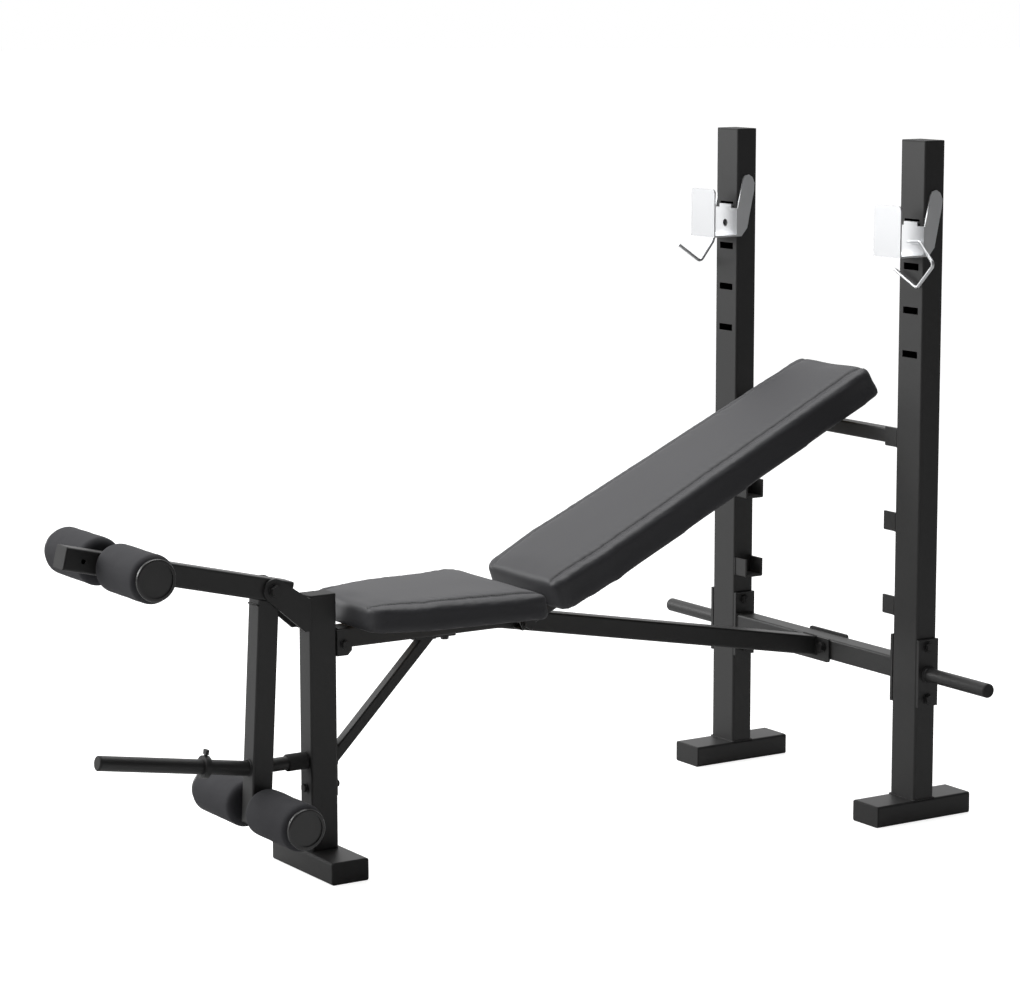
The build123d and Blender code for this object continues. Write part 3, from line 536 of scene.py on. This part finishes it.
def rounded_outline(corners, radii, step):
    """Closed outline through corners, each rounded to its radius, with points about a step apart."""
    arcs = []
    count = len(corners)
    for number, corner in enumerate(corners):
        before = (corners[number - 1] - corner).normalized()
        after = (corners[(number + 1) % count] - corner).normalized()
        half = before.angle(after) / 2
        radius = radii[number]
        centre = corner + (before + after).normalized() * (radius / math.sin(half))
        first = corner + before * (radius / math.tan(half)) - centre
        last = corner + after * (radius / math.tan(half)) - centre
        start = math.atan2(first.y, first.x)
        turn = (math.atan2(last.y, last.x) - start + math.pi) % (2 * math.pi) - math.pi
        pieces = max(2, round(abs(turn) * radius / step))
        angles = [start + turn * i / pieces for i in range(pieces + 1)]
        arcs.append([centre + Vector((math.cos(angle), math.sin(angle))) * radius for angle in angles])
    points = []
    for number, arc in enumerate(arcs):
        points += arc
        run = arcs[(number + 1) % count][0] - arc[-1]
        pieces = max(1, round(run.length / step))
        points += [arc[-1] + run * i / pieces for i in range(1, pieces)]
    return points


def inset_ring(outline, inset, height):
    """The outline moved inwards and set at a height."""
    ring = []
    for number, point in enumerate(outline):
        along = (outline[(number + 1) % len(outline)] - outline[number - 1]).normalized()
        ring.append(Vector((point.x - along.y * inset, point.y + along.x * inset, height)))
    return ring


def loft(rings, name):
    """A closed mesh through rings of equal length, with its two ends filled."""
    shape = bmesh.new()
    layers = [[shape.verts.new(point) for point in ring] for ring in rings]
    for lower, upper in zip(layers, layers[1:]):
        for number, vertex in enumerate(lower):
            after = (number + 1) % len(lower)
            shape.faces.new((vertex, lower[after], upper[after], upper[number]))
    shape.faces.new(reversed(layers[0]))
    shape.faces.new(layers[-1])
    bmesh.ops.recalc_face_normals(shape, faces=shape.faces)
    return to_mesh(shape, name)


class Pad:
    """A pad in its own plane: x across, y along, z away from its board."""

    def __init__(self, name, halves, corners, thickness, place):
        self.name = name
        self.halves = halves
        self.thickness = thickness
        self.place = place
        right = [Vector((half, along)) for half, along in halves]
        left = [Vector((-half, along)) for half, along in reversed(halves)]
        middle = [60 * MM] * (len(halves) - 2)
        radii = [corners[0], *middle, corners[1], corners[1], *middle, corners[0]]
        self.outline = rounded_outline(right + left, radii, 4 * MM)

    def half_width(self, along):
        """Half the pad's width at a distance along it."""
        for (half, at), (next_half, next_at) in zip(self.halves, self.halves[1:]):
            if along <= next_at:
                return half + (next_half - half) * (along - at) / (next_at - at)
        return self.halves[-1][0]

    def start_shape(self, margin, rim, board):
        """The cover before it is filled: a rim round the board, plain sides and rounded shoulders."""
        top = self.thickness - margin
        shoulder, taper = 10 * MM, 10 * MM
        side, lower_edge = 0.3 * MM, 1.5 * MM
        levels = [(rim, board), (rim, 0.0), (lower_edge, 0.0), (side, 2 * MM), (side, board),
                  (margin, board + taper), (margin, top - shoulder)]
        steps = 4
        for step in range(1, steps + 1):
            turn = math.radians(step * 90 / steps)
            inset = margin + shoulder * (1 - math.cos(turn))
            levels.append((inset, top - shoulder + shoulder * math.sin(turn)))
        return loft([inset_ring(self.outline, inset, height) for inset, height in levels], self.name)

    def seam_x(self, along, inset):
        """How far from the middle a lengthwise seam runs."""
        return self.half_width(along) - inset


def evened(mesh, travels, rounds):
    """Each point's travel averaged with its neighbours', as firm foam spreads a pull."""
    near = [[] for _ in travels]
    for edge in mesh.edges:
        first, second = edge.vertices
        near[first].append(second)
        near[second].append(first)
    for _ in range(rounds):
        travels = [(travel + sum((travels[other] for other in others), Vector())) / (len(others) + 1)
                   for travel, others in zip(travels, near)]
    return travels


def fill_cover(piece, held_below, voxel):
    """Remesh the cover, fill it under pressure, hold each point to the swell, and smooth it once."""
    pads = sizes("pads")
    remesh = piece.modifiers.new("even_mesh", "REMESH")
    remesh.mode = "VOXEL"
    remesh.voxel_size = voxel
    settle(piece)
    rest = [vertex.co.copy() for vertex in piece.data.vertices]
    group = piece.vertex_groups.new(name="held")
    group.add([number for number, point in enumerate(rest) if point.z < held_below], 1.0, "REPLACE")
    cloth = piece.modifiers.new("stuffing", "CLOTH")
    settings = cloth.settings
    settings.quality = 5
    settings.vertex_group_mass = "held"
    settings.use_pressure = True
    settings.uniform_pressure_force = pads.pressure
    settings.effector_weights.gravity = 0.0
    settings.tension_stiffness = 40.0
    settings.compression_stiffness = 40.0
    settings.bending_stiffness = 4.0
    cloth.point_cache.frame_start = 1
    cloth.point_cache.frame_end = pads.frames
    for step in range(1, pads.frames + 1):
        bpy.context.scene.frame_set(step)
    view = bpy.context.evaluated_depsgraph_get()
    moved = [vertex.co.copy() for vertex in piece.evaluated_get(view).data.vertices]
    piece.modifiers.clear()
    piece.vertex_groups.clear()
    bpy.context.scene.frame_set(1)
    travels = []
    for start, end in zip(rest, moved):
        travel = end - start
        if travel.length > 1e-9:
            travel *= pads.swell * math.tanh(travel.length / pads.swell) / travel.length
        travels.append(travel)
    travels = evened(piece.data, travels, pads.firmness)
    for vertex, start, travel in zip(piece.data.vertices, rest, travels):
        vertex.co = start + travel
    smooth = piece.modifiers.new("smooth_cover", "SUBSURF")
    smooth.levels = 1
    smooth.render_levels = 1
    settle(piece)


def fill_out(piece, pad, board, crown):
    """Stretch the filled cover away from its board to its full thickness, a little less at its sides."""
    fall = 0.06
    top = max(vertex.co.z for vertex in piece.data.vertices)
    half = max(abs(vertex.co.x) for vertex in piece.data.vertices)
    factor = (pad.thickness + crown - board) / (top - board)
    for vertex in piece.data.vertices:
        if vertex.co.z > board:
            camber = 1.0 - fall * (vertex.co.x / half) ** 2
            vertex.co.z = board + (vertex.co.z - board) * factor * camber


def sew(piece, pad):
    """Press the lengthwise seams into a filled cover, with puckers beside them."""
    pads = sizes("pads")
    low, high = pad.halves[0][1], pad.halves[-1][1]
    sewn_above, rise = 0.45 * pad.thickness, 0.25 * pad.thickness
    fade, reach = 18 * MM, 4.5 * pads.seam_width
    pucker_height, slack_height = 1.1 * MM, 1.0 * MM
    for vertex in piece.data.vertices:
        point = vertex.co
        if point.z < sewn_above:
            continue
        away = abs(abs(point.x) - pad.seam_x(point.y, pads.seam_inset))
        inward = min(point.y - low, high - point.y)
        pull = math.exp(-(away / pads.seam_width) ** 2) * min(1.0, max(0.0, inward / fade))
        near = math.exp(-(away / reach) ** 2)
        pucker = noise.noise(Vector((point.x * 30, point.y * 95, 3.7))) * pucker_height * near
        slack = noise.noise(Vector((point.x * 9, point.y * 9, 8.1))) * slack_height
        shoulder = min(1.0, max(0.0, (point.z - sewn_above) / rise))
        point.z += (pucker + slack - pads.seam_depth * pull) * shoulder
    piece.data.update()


def seam_paths(piece, pad, offset):
    """Lines on the cover beside each seam, in the pad's own plane."""
    pads = sizes("pads")
    tree = BVHTree.FromPolygons([v.co.copy() for v in piece.data.vertices],
                                [tuple(p.vertices) for p in piece.data.polygons])
    low, high = pad.halves[0][1], pad.halves[-1][1]
    end_gap, lift, steps = 8 * MM, 0.15 * MM, 120
    paths = []
    for side in (-1, 1):
        path = []
        for step in range(steps + 1):
            along = low + end_gap + (high - low - 2 * end_gap) * step / steps
            x = side * (pad.seam_x(along, pads.seam_inset) - offset)
            hit = tree.ray_cast(Vector((x, along, 2 * pad.thickness)), -Z_AXIS)[0]
            if hit is not None and hit.z > 0.6 * pad.thickness:
                path.append(hit + Z_AXIS * lift)
        paths.append(path)
    return paths


# ---- repeats that follow a line ----------------------------------------------
def build_run_tree():
    """Geometry nodes: small rounded grains set along lines, each turned to follow its line."""
    tree = bpy.data.node_groups.new("Grains along lines", "GeometryNodeTree")
    face = tree.interface
    face.new_socket("Geometry", in_out="INPUT", socket_type="NodeSocketGeometry")
    for label, value in (("Spacing", 3 * MM), ("Length", 2 * MM), ("Width", 1 * MM), ("Height", 1 * MM)):
        socket = face.new_socket(label, in_out="INPUT", socket_type="NodeSocketFloat")
        socket.default_value = value
    face.new_socket("Finish", in_out="INPUT", socket_type="NodeSocketMaterial")
    face.new_socket("Geometry", in_out="OUTPUT", socket_type="NodeSocketGeometry")
    given = node(tree, "NodeGroupInput").outputs
    curve = node(tree, "GeometryNodeMeshToCurve", None, {"Mesh": given["Geometry"]}).outputs[0]
    even = node(tree, "GeometryNodeResampleCurve", {"mode": "LENGTH"}, {
        "Curve": curve, "Length": given["Spacing"]}).outputs[0]
    grain = node(tree, "GeometryNodeMeshIcoSphere", None, {"Radius": 1.0, "Subdivisions": 1}).outputs[0]
    soft = node(tree, "GeometryNodeSetShadeSmooth", None, {"Geometry": grain}).outputs[0]
    tangent = node(tree, "GeometryNodeInputTangent").outputs[0]
    turned = node(tree, "FunctionNodeAlignRotationToVector", {"axis": "X"}, {"Vector": tangent}).outputs[0]
    size = node(tree, "ShaderNodeCombineXYZ", None, {
        0: given["Length"], 1: given["Width"], 2: given["Height"]}).outputs[0]
    placed = node(tree, "GeometryNodeInstanceOnPoints", None, {
        "Points": even, "Instance": soft, "Rotation": turned, "Scale": size}).outputs[0]
    real = node(tree, "GeometryNodeRealizeInstances", None, {"Geometry": placed}).outputs[0]
    done = node(tree, "GeometryNodeSetMaterial", None, {
        "Geometry": real, "Material": given["Finish"]}).outputs[0]
    node(tree, "NodeGroupOutput", None, {"Geometry": done})
    return tree


def grains_along(name, paths, material, **values):
    """A plain mesh of grains along open or closed paths; a closed one ends where it starts."""
    mesh = bpy.data.meshes.new(name)
    points, edges = [], []
    for path in paths:
        closed = (path[0] - path[-1]).length < 1e-6
        run = path[:-1] if closed else path
        first = len(points)
        points += [tuple(point) for point in run]
        edges += [(first + i, first + i + 1) for i in range(len(run) - 1)]
        if closed:
            edges.append((first + len(run) - 1, first))
    mesh.from_pydata(points, edges, [])
    piece = new_piece(name, mesh)
    tree = bpy.data.node_groups.get("Grains along lines") or build_run_tree()
    modifier = piece.modifiers.new("grains", "NODES")
    modifier.node_group = tree
    sockets = {item.name: item.identifier for item in tree.interface.items_tree if item.in_out == "INPUT"}
    for label, value in values.items():
        modifier[sockets[label]] = value
    modifier[sockets["Finish"]] = material
    settle(piece)
    return piece


def rectangle(centre, across, up, width, height):
    """A closed rectangular path about a centre."""
    corners = ((-1, -1), (1, -1), (1, 1), (-1, 1), (-1, -1))
    return [centre + across * (a * width / 2) + up * (b * height / 2) for a, b in corners]


def ring(centre, across, up, radius):
    """A closed round path about a centre."""
    steps = 36
    turns = [2 * math.pi * (step % steps) / steps for step in range(steps + 1)]
    return [centre + across * (radius * math.cos(a)) + up * (radius * math.sin(a)) for a in turns]


# ---- pads --------------------------------------------------------------------
def upholster(pad, body, node_name, voxel):
    """Make one pad with its seams and stitches, and let it stand for its node."""
    pads = sizes("pads")
    piece = new_piece(pad.name, pad.start_shape(START_MARGIN, RIM_WIDTH, RECESS_DEPTH))
    fill_cover(piece, HELD_HEIGHT, voxel)
    fill_out(piece, pad, HELD_HEIGHT, CROWN)
    sew(piece, pad)
    paths = seam_paths(piece, pad, STITCH_OFFSET)
    smoothed(piece.data, "vinyl")
    piece.data.transform(pad.place)
    stitches = grains_along(
        pad.name + "_stitches", paths, finish("thread"), Spacing=pads.stitch, Length=0.42 * pads.stitch,
        Width=0.42 * MM, Height=0.35 * MM)
    stitches.data.transform(pad.place)
    for made in (piece, stitches):
        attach(made, body)
    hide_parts(node_name)


class BENCH_OT_seat(bpy.types.Operator):
    """Stuff and sew the seat pad"""

    bl_idname = "bench.seat"
    bl_label = "Seat pad"

    def execute(self, context):
        length = SEAT_HIGH.y - SEAT_LOW.y
        place = Matrix.Translation((0, SEAT_LOW.y, SEAT_LOW.z))
        halves = [(108 * MM, 0.0), (140 * MM, 95 * MM), (160 * MM, length)]
        pad = Pad("seat_cushion", halves, (36 * MM, 24 * MM), SEAT_HIGH.z - SEAT_LOW.z, place)
        upholster(pad, "frame", "seat_pad", voxel=4 * MM)
        return {"FINISHED"}


class BENCH_OT_backrest(bpy.types.Operator):
    """Stuff and sew the backrest pad"""

    bl_idname = "bench.backrest"
    bl_label = "Backrest pad"

    def execute(self, context):
        hinge = Vector(JOINTS["backrest_tilt"]["pos_m"])
        start, under_board = 40 * MM, 9 * MM
        lift = Matrix.Rotation(BACK_ANGLE, 4, "X") @ Matrix.Translation((0, 0, under_board))
        place = Matrix.Translation(hinge) @ lift
        halves = [(121 * MM, start), (132 * MM, start + 110 * MM), (110 * MM, start + 767 * MM)]
        pad = Pad("backrest_cushion", halves, (28 * MM, 26 * MM), 58 * MM, place)
        upholster(pad, "backrest", "back_pad", voxel=5 * MM)
        return {"FINISHED"}


# ---- foam rollers ------------------------------------------------------------
def roller_profile(inner, outer, foam):
    """Half-section of a roller: distances along its axle with their radii."""
    points = [(inner, foam.bore), (inner, foam.bore + 3 * MM), (inner, foam.radius - foam.rim)]
    rim_steps, runs = 8, 26
    for step in range(1, rim_steps + 1):
        turn = math.radians(step * 90 / rim_steps)
        along = inner + foam.rim * (1 - math.cos(turn))
        points.append((along, foam.radius - foam.rim * (1 - math.sin(turn))))
    for step in range(1, runs):
        points.append((inner + foam.rim + (outer - inner - 2 * foam.rim) * step / runs, foam.radius))
    mirrored = [(inner + outer - along, radius) for along, radius in points[:rim_steps + 3]]
    return points + mirrored[::-1]


def turn_roller(name, centre, inner, outer, seed):
    """A foam roller turned about its axle, faintly uneven."""
    foam = sizes("foam")
    profile = roller_profile(inner, outer, foam)
    broad_dent, fine_dent = 0.5 * MM, 0.15 * MM
    shape = bmesh.new()
    rings = []
    for along, radius in profile:
        layer = []
        for number in range(foam.segments):
            angle = 2 * math.pi * number / foam.segments
            spot = Vector((along * 24, math.cos(angle), math.sin(angle) + seed))
            dent = (noise.noise(spot * 1.6) - 0.9) * broad_dent + noise.noise(spot * 6) * fine_dent
            reach = radius + (dent if radius > foam.bore + 4 * MM else 0.0)
            point = Vector((along, reach * math.cos(angle), reach * math.sin(angle)))
            layer.append(shape.verts.new(centre + point))
        rings.append(layer)
    for number, layer in enumerate(rings):
        following = rings[(number + 1) % len(rings)]
        for step in range(foam.segments):
            after = (step + 1) % foam.segments
            shape.faces.new((layer[step], layer[after], following[after], following[step]))
    bmesh.ops.recalc_face_normals(shape, faces=shape.faces)
    mesh = to_mesh(shape, name)
    smoothed(mesh, "foam")
    return new_piece(name, mesh)


class BENCH_OT_rollers(bpy.types.Operator):
    """Turn the four foam rollers"""

    bl_idname = "bench.rollers"
    bl_label = "Foam rollers"

    def execute(self, context):
        for seed, (level, side) in enumerate((a, b) for a in ("upper", "lower") for b in ("left", "right")):
            node_name = f"{level}_roller_{side}"
            low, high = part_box(node_name)
            centre = Vector((0, (low.y + high.y) / 2, (low.z + high.z) / 2))
            piece = turn_roller(f"{level}_{side}_foam_roller", centre, low.x, high.x, seed * 5.3)
            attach(piece, f"{level}_{side}_foam")
            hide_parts(node_name)
        return {"FINISHED"}


# ---- finishes of the carried-over pieces -------------------------------------
class BENCH_OT_steel(bpy.types.Operator):
    """Powder coat the tubes, plates and brackets"""

    bl_idname = "bench.steel"
    bl_label = "Powder-coated steel"

    def execute(self, context):
        finish_nodes("powder_coat")
        return {"FINISHED"}


class BENCH_OT_fittings(bpy.types.Operator):
    """Zinc plate the bar catches and wire pins, and blacken the bolts"""

    bl_idname = "bench.fittings"
    bl_label = "Catches, pins and bolts"

    def execute(self, context):
        finish_nodes("zinc_plate", "black_fastener")
        return {"FINISHED"}


class BENCH_OT_mouldings(bpy.types.Operator):
    """Mould the end plugs, roller discs, bushes and bumper"""

    bl_idname = "bench.mouldings"
    bl_label = "Plugs, discs and bushes"

    def execute(self, context):
        finish_nodes("black_plug", "roller_disc", "nylon", "bumper_rubber")
        return {"FINISHED"}


class BENCH_OT_boards(bpy.types.Operator):
    """Cut the plywood boards under the pads"""

    bl_idname = "bench.boards"
    bl_label = "Plywood boards"

    def execute(self, context):
        finish_nodes("plywood")
        return {"FINISHED"}


# ---- welds -------------------------------------------------------------------
def frame_weld_paths():
    """Weld lines of the fixed frame."""
    tube = 38 * MM
    upright_x, foot_top = 269 * MM, 38.3 * MM
    crossbar_end, crossbar_z = 229.6 * MM, 267.5 * MM
    peg_root, peg_z, peg_radius = 309.5 * MM, 265 * MM, 14 * MM
    cradle_x, cradle_tops, cradle_edge = 235.6 * MM, (695 * MM, 545 * MM, 395 * MM), 20 * MM
    paths = []
    for side in (-1, 1):
        foot = Vector((side * upright_x, RACK_Y, foot_top))
        paths.append(rectangle(foot, X_AXIS, Y_AXIS, 67 * MM, 45 * MM))
        crossbar = Vector((side * crossbar_end, RACK_Y, crossbar_z))
        paths.append(rectangle(crossbar, Y_AXIS, Z_AXIS, tube, tube))
        paths.append(ring(Vector((side * peg_root, RACK_Y, peg_z)), Y_AXIS, Z_AXIS, peg_radius))
        for top in cradle_tops:
            for edge in (-1, 1):
                start = Vector((side * cradle_x, RACK_Y + edge * cradle_edge, top - 32 * MM))
                paths.append([start, start + Z_AXIS * 30 * MM])
    low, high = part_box("seat_brackets")
    for y in (low.y, high.y - 40 * MM):
        for side in (-1, 1):
            start = Vector((side * tube / 2, y + 1 * MM, low.z - 0.3 * MM))
            paths.append([start, start + Y_AXIS * 38 * MM])
    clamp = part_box("rear_clamp_front")[0].y
    paths.append(rectangle(Vector((0, clamp - 0.2 * MM, 270.0 * MM)), X_AXIS, Z_AXIS, tube, 35 * MM))
    post_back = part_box("front_post")[1].y
    brace_foot, rail_bottom, end_plate = 194 * MM, 377 * MM, 4.2 * MM
    foot = Vector((0, post_back + end_plate, brace_foot))
    head = Vector((0, post_back + rail_bottom - brace_foot, rail_bottom - end_plate))
    paths.append(rectangle(foot, X_AXIS, Z_AXIS, 20 * MM, 28 * MM))
    paths.append(rectangle(head, X_AXIS, Y_AXIS, 20 * MM, 28 * MM))
    return paths


def lever_weld_paths():
    """Weld lines of the swinging lever."""
    pivot = Vector(JOINTS["leg_lever_swing"]["pos_m"])
    lean = math.radians(3.06)
    peg_ring, stub_ring, axle_ring = 13.2 * MM, 12.2 * MM, 13.2 * MM
    down = Vector((0, -math.sin(lean), -math.cos(lean)))
    ahead = Vector((0, -math.cos(lean), math.sin(lean)))
    leg_top = pivot - Y_AXIS * 7 * MM
    front = leg_top + ahead * 19.3 * MM
    back = leg_top - ahead * 19.3 * MM
    paths = [ring(front + down * 296.5 * MM, X_AXIS, down, peg_ring),
             ring(back + down * 296 * MM, X_AXIS, down, stub_ring)]
    for name in ("upper_left_foam_spin", "lower_left_foam_spin"):
        place = Vector(JOINTS[name]["pos_m"])
        for side in (-1, 1):
            paths.append(ring(Vector((side * 19.4 * MM, place.y, place.z)), Y_AXIS, Z_AXIS, axle_ring))
    for side in (-1, 1):
        x = X_AXIS * side * 18 * MM
        paths.append([front + down * 24 * MM - ahead * 1 * MM + x * 0.9, front + down * 24 * MM - x * 0.9])
    return paths


class BENCH_OT_welds(bpy.types.Operator):
    """Lay the rippled weld beads where tubes and plates meet"""

    bl_idname = "bench.welds"
    bl_label = "Weld beads"

    def execute(self, context):
        steel = sizes("steel")
        for name, body, paths in (("frame_welds", "frame", frame_weld_paths()),
                                  ("lever_welds", "lever", lever_weld_paths())):
            piece = grains_along(name, paths, finish("powder_coat"), Spacing=steel.ripple,
                                 Length=0.95 * steel.ripple, Width=steel.bead, Height=steel.bead)
            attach(piece, body)
        return {"FINISHED"}


# ---- stage -------------------------------------------------------------------
def soft_light(name, place, aim, width, height, power):
    """A rectangular soft box aimed at a point."""
    lamp = bpy.data.lights.new(name, "AREA")
    lamp.shape = "RECTANGLE"
    lamp.size, lamp.size_y = width, height
    lamp.energy = power
    made = bpy.data.objects.new(name, lamp)
    made.location = place
    made.rotation_euler = (Vector(aim) - Vector(place)).to_track_quat("-Z", "Y").to_euler()
    bpy.context.scene.collection.objects.link(made)


def studio_sky():
    """White walls that light the bench from its left far more than from its right."""
    sky = bpy.data.worlds.new("studio")
    sky.use_nodes = True
    tree = sky.node_tree
    toward = node(tree, "ShaderNodeTexCoord").outputs["Generated"]
    brightest = (-1.0, -0.15, 0.2)
    dot = node(tree, "ShaderNodeVectorMath", {"operation": "DOT_PRODUCT"}, {0: toward, 1: brightest})
    glow = spread(tree, dot.outputs["Value"], -0.1, 0.7, 0.05, 1.0)
    seen = node(tree, "ShaderNodeLightPath").outputs["Is Camera Ray"]
    level = maths(tree, "MAXIMUM", seen, glow)
    tree.links.new(level, tree.nodes["Background"].inputs["Strength"])
    tree.nodes["Background"].inputs["Color"].default_value = (1, 1, 1, 1)
    return sky


class BENCH_OT_stage(bpy.types.Operator):
    """Lay the pale floor, hang the soft lights and set the camera"""

    bl_idname = "bench.stage"
    bl_label = "Floor, lights and camera"

    def execute(self, context):
        stage = sizes("stage")
        scene = context.scene
        shape = bmesh.new()
        bmesh.ops.create_circle(shape, cap_ends=True, segments=96, radius=60)
        mesh = to_mesh(shape, "studio_floor")
        mesh.materials.append(finish("studio_floor"))
        floor = new_piece("studio_floor", mesh)
        soft_light("key_light", place=(-3.6, -3.6, 2.6), aim=(0, 0, 0.5),
                   width=3.0, height=2.4, power=stage.key)
        soft_light("top_light", place=(-0.6, 0.2, 4.0), aim=(0, 0.1, 0.4),
                   width=3.4, height=3.4, power=0.7 * stage.key)
        scene.world = studio_sky()
        scene.view_settings.view_transform = "Standard"
        camera = bpy.data.cameras.new("studio_camera")
        camera.lens = stage.lens
        camera.sensor_width = 36
        camera.dof.use_dof = False
        eye = bpy.data.objects.new("studio_camera", camera)
        yaw, pitch, roll = math.radians(57.3467), math.radians(8.9811), math.radians(-0.1032)
        ahead = Vector((-math.sin(yaw) * math.cos(pitch), math.cos(yaw) * math.cos(pitch), -math.sin(pitch)))
        level = Vector((math.cos(yaw), math.sin(yaw), 0))
        upright = level.cross(ahead)
        right = level * math.cos(roll) + upright * math.sin(roll)
        up = upright * math.cos(roll) - level * math.sin(roll)
        turn = Matrix((right, up, -ahead)).transposed().to_4x4()
        stand = Vector((4.67337, RACK_Y - 3.67024, 1.48516))
        eye.matrix_world = Matrix.Translation(stand) @ turn
        scene.collection.objects.link(eye)
        scene.camera = eye
        return {"FINISHED"}


class BENCH_PT_panel(bpy.types.Panel):
    """Steps that dress the bench"""

    bl_label = "Bench"
    bl_idname = "BENCH_PT_panel"
    bl_space_type = "VIEW_3D"
    bl_region_type = "UI"
    bl_category = "Bench"

    def draw(self, context):
        for group in GROUPS:
            settings = sizes(group)
            box = self.layout.box()
            box.label(text=group.capitalize())
            for name in settings.__annotations__:
                box.prop(settings, name)
        for step in STEPS:
            self.layout.operator(step.bl_idname)


STEPS = (BENCH_OT_steel, BENCH_OT_fittings, BENCH_OT_mouldings, BENCH_OT_boards, BENCH_OT_seat,
         BENCH_OT_backrest, BENCH_OT_rollers, BENCH_OT_welds, BENCH_OT_stage)


def register():
    for group in (*GROUPS.values(), *STEPS, BENCH_PT_panel):
        bpy.utils.register_class(group)
    for name, group in GROUPS.items():
        setattr(bpy.types.Scene, "bench_" + name, PointerProperty(type=group))


def unregister():
    for name in GROUPS:
        delattr(bpy.types.Scene, "bench_" + name)
    for group in (BENCH_PT_panel, *reversed(STEPS), *reversed(GROUPS.values())):
        bpy.utils.unregister_class(group)


def main():
    """Run every step in order."""
    register()
    for step in STEPS:
        getattr(bpy.ops.bench, step.bl_idname.split(".")[1])()


if __name__ == "__main__":
    main()
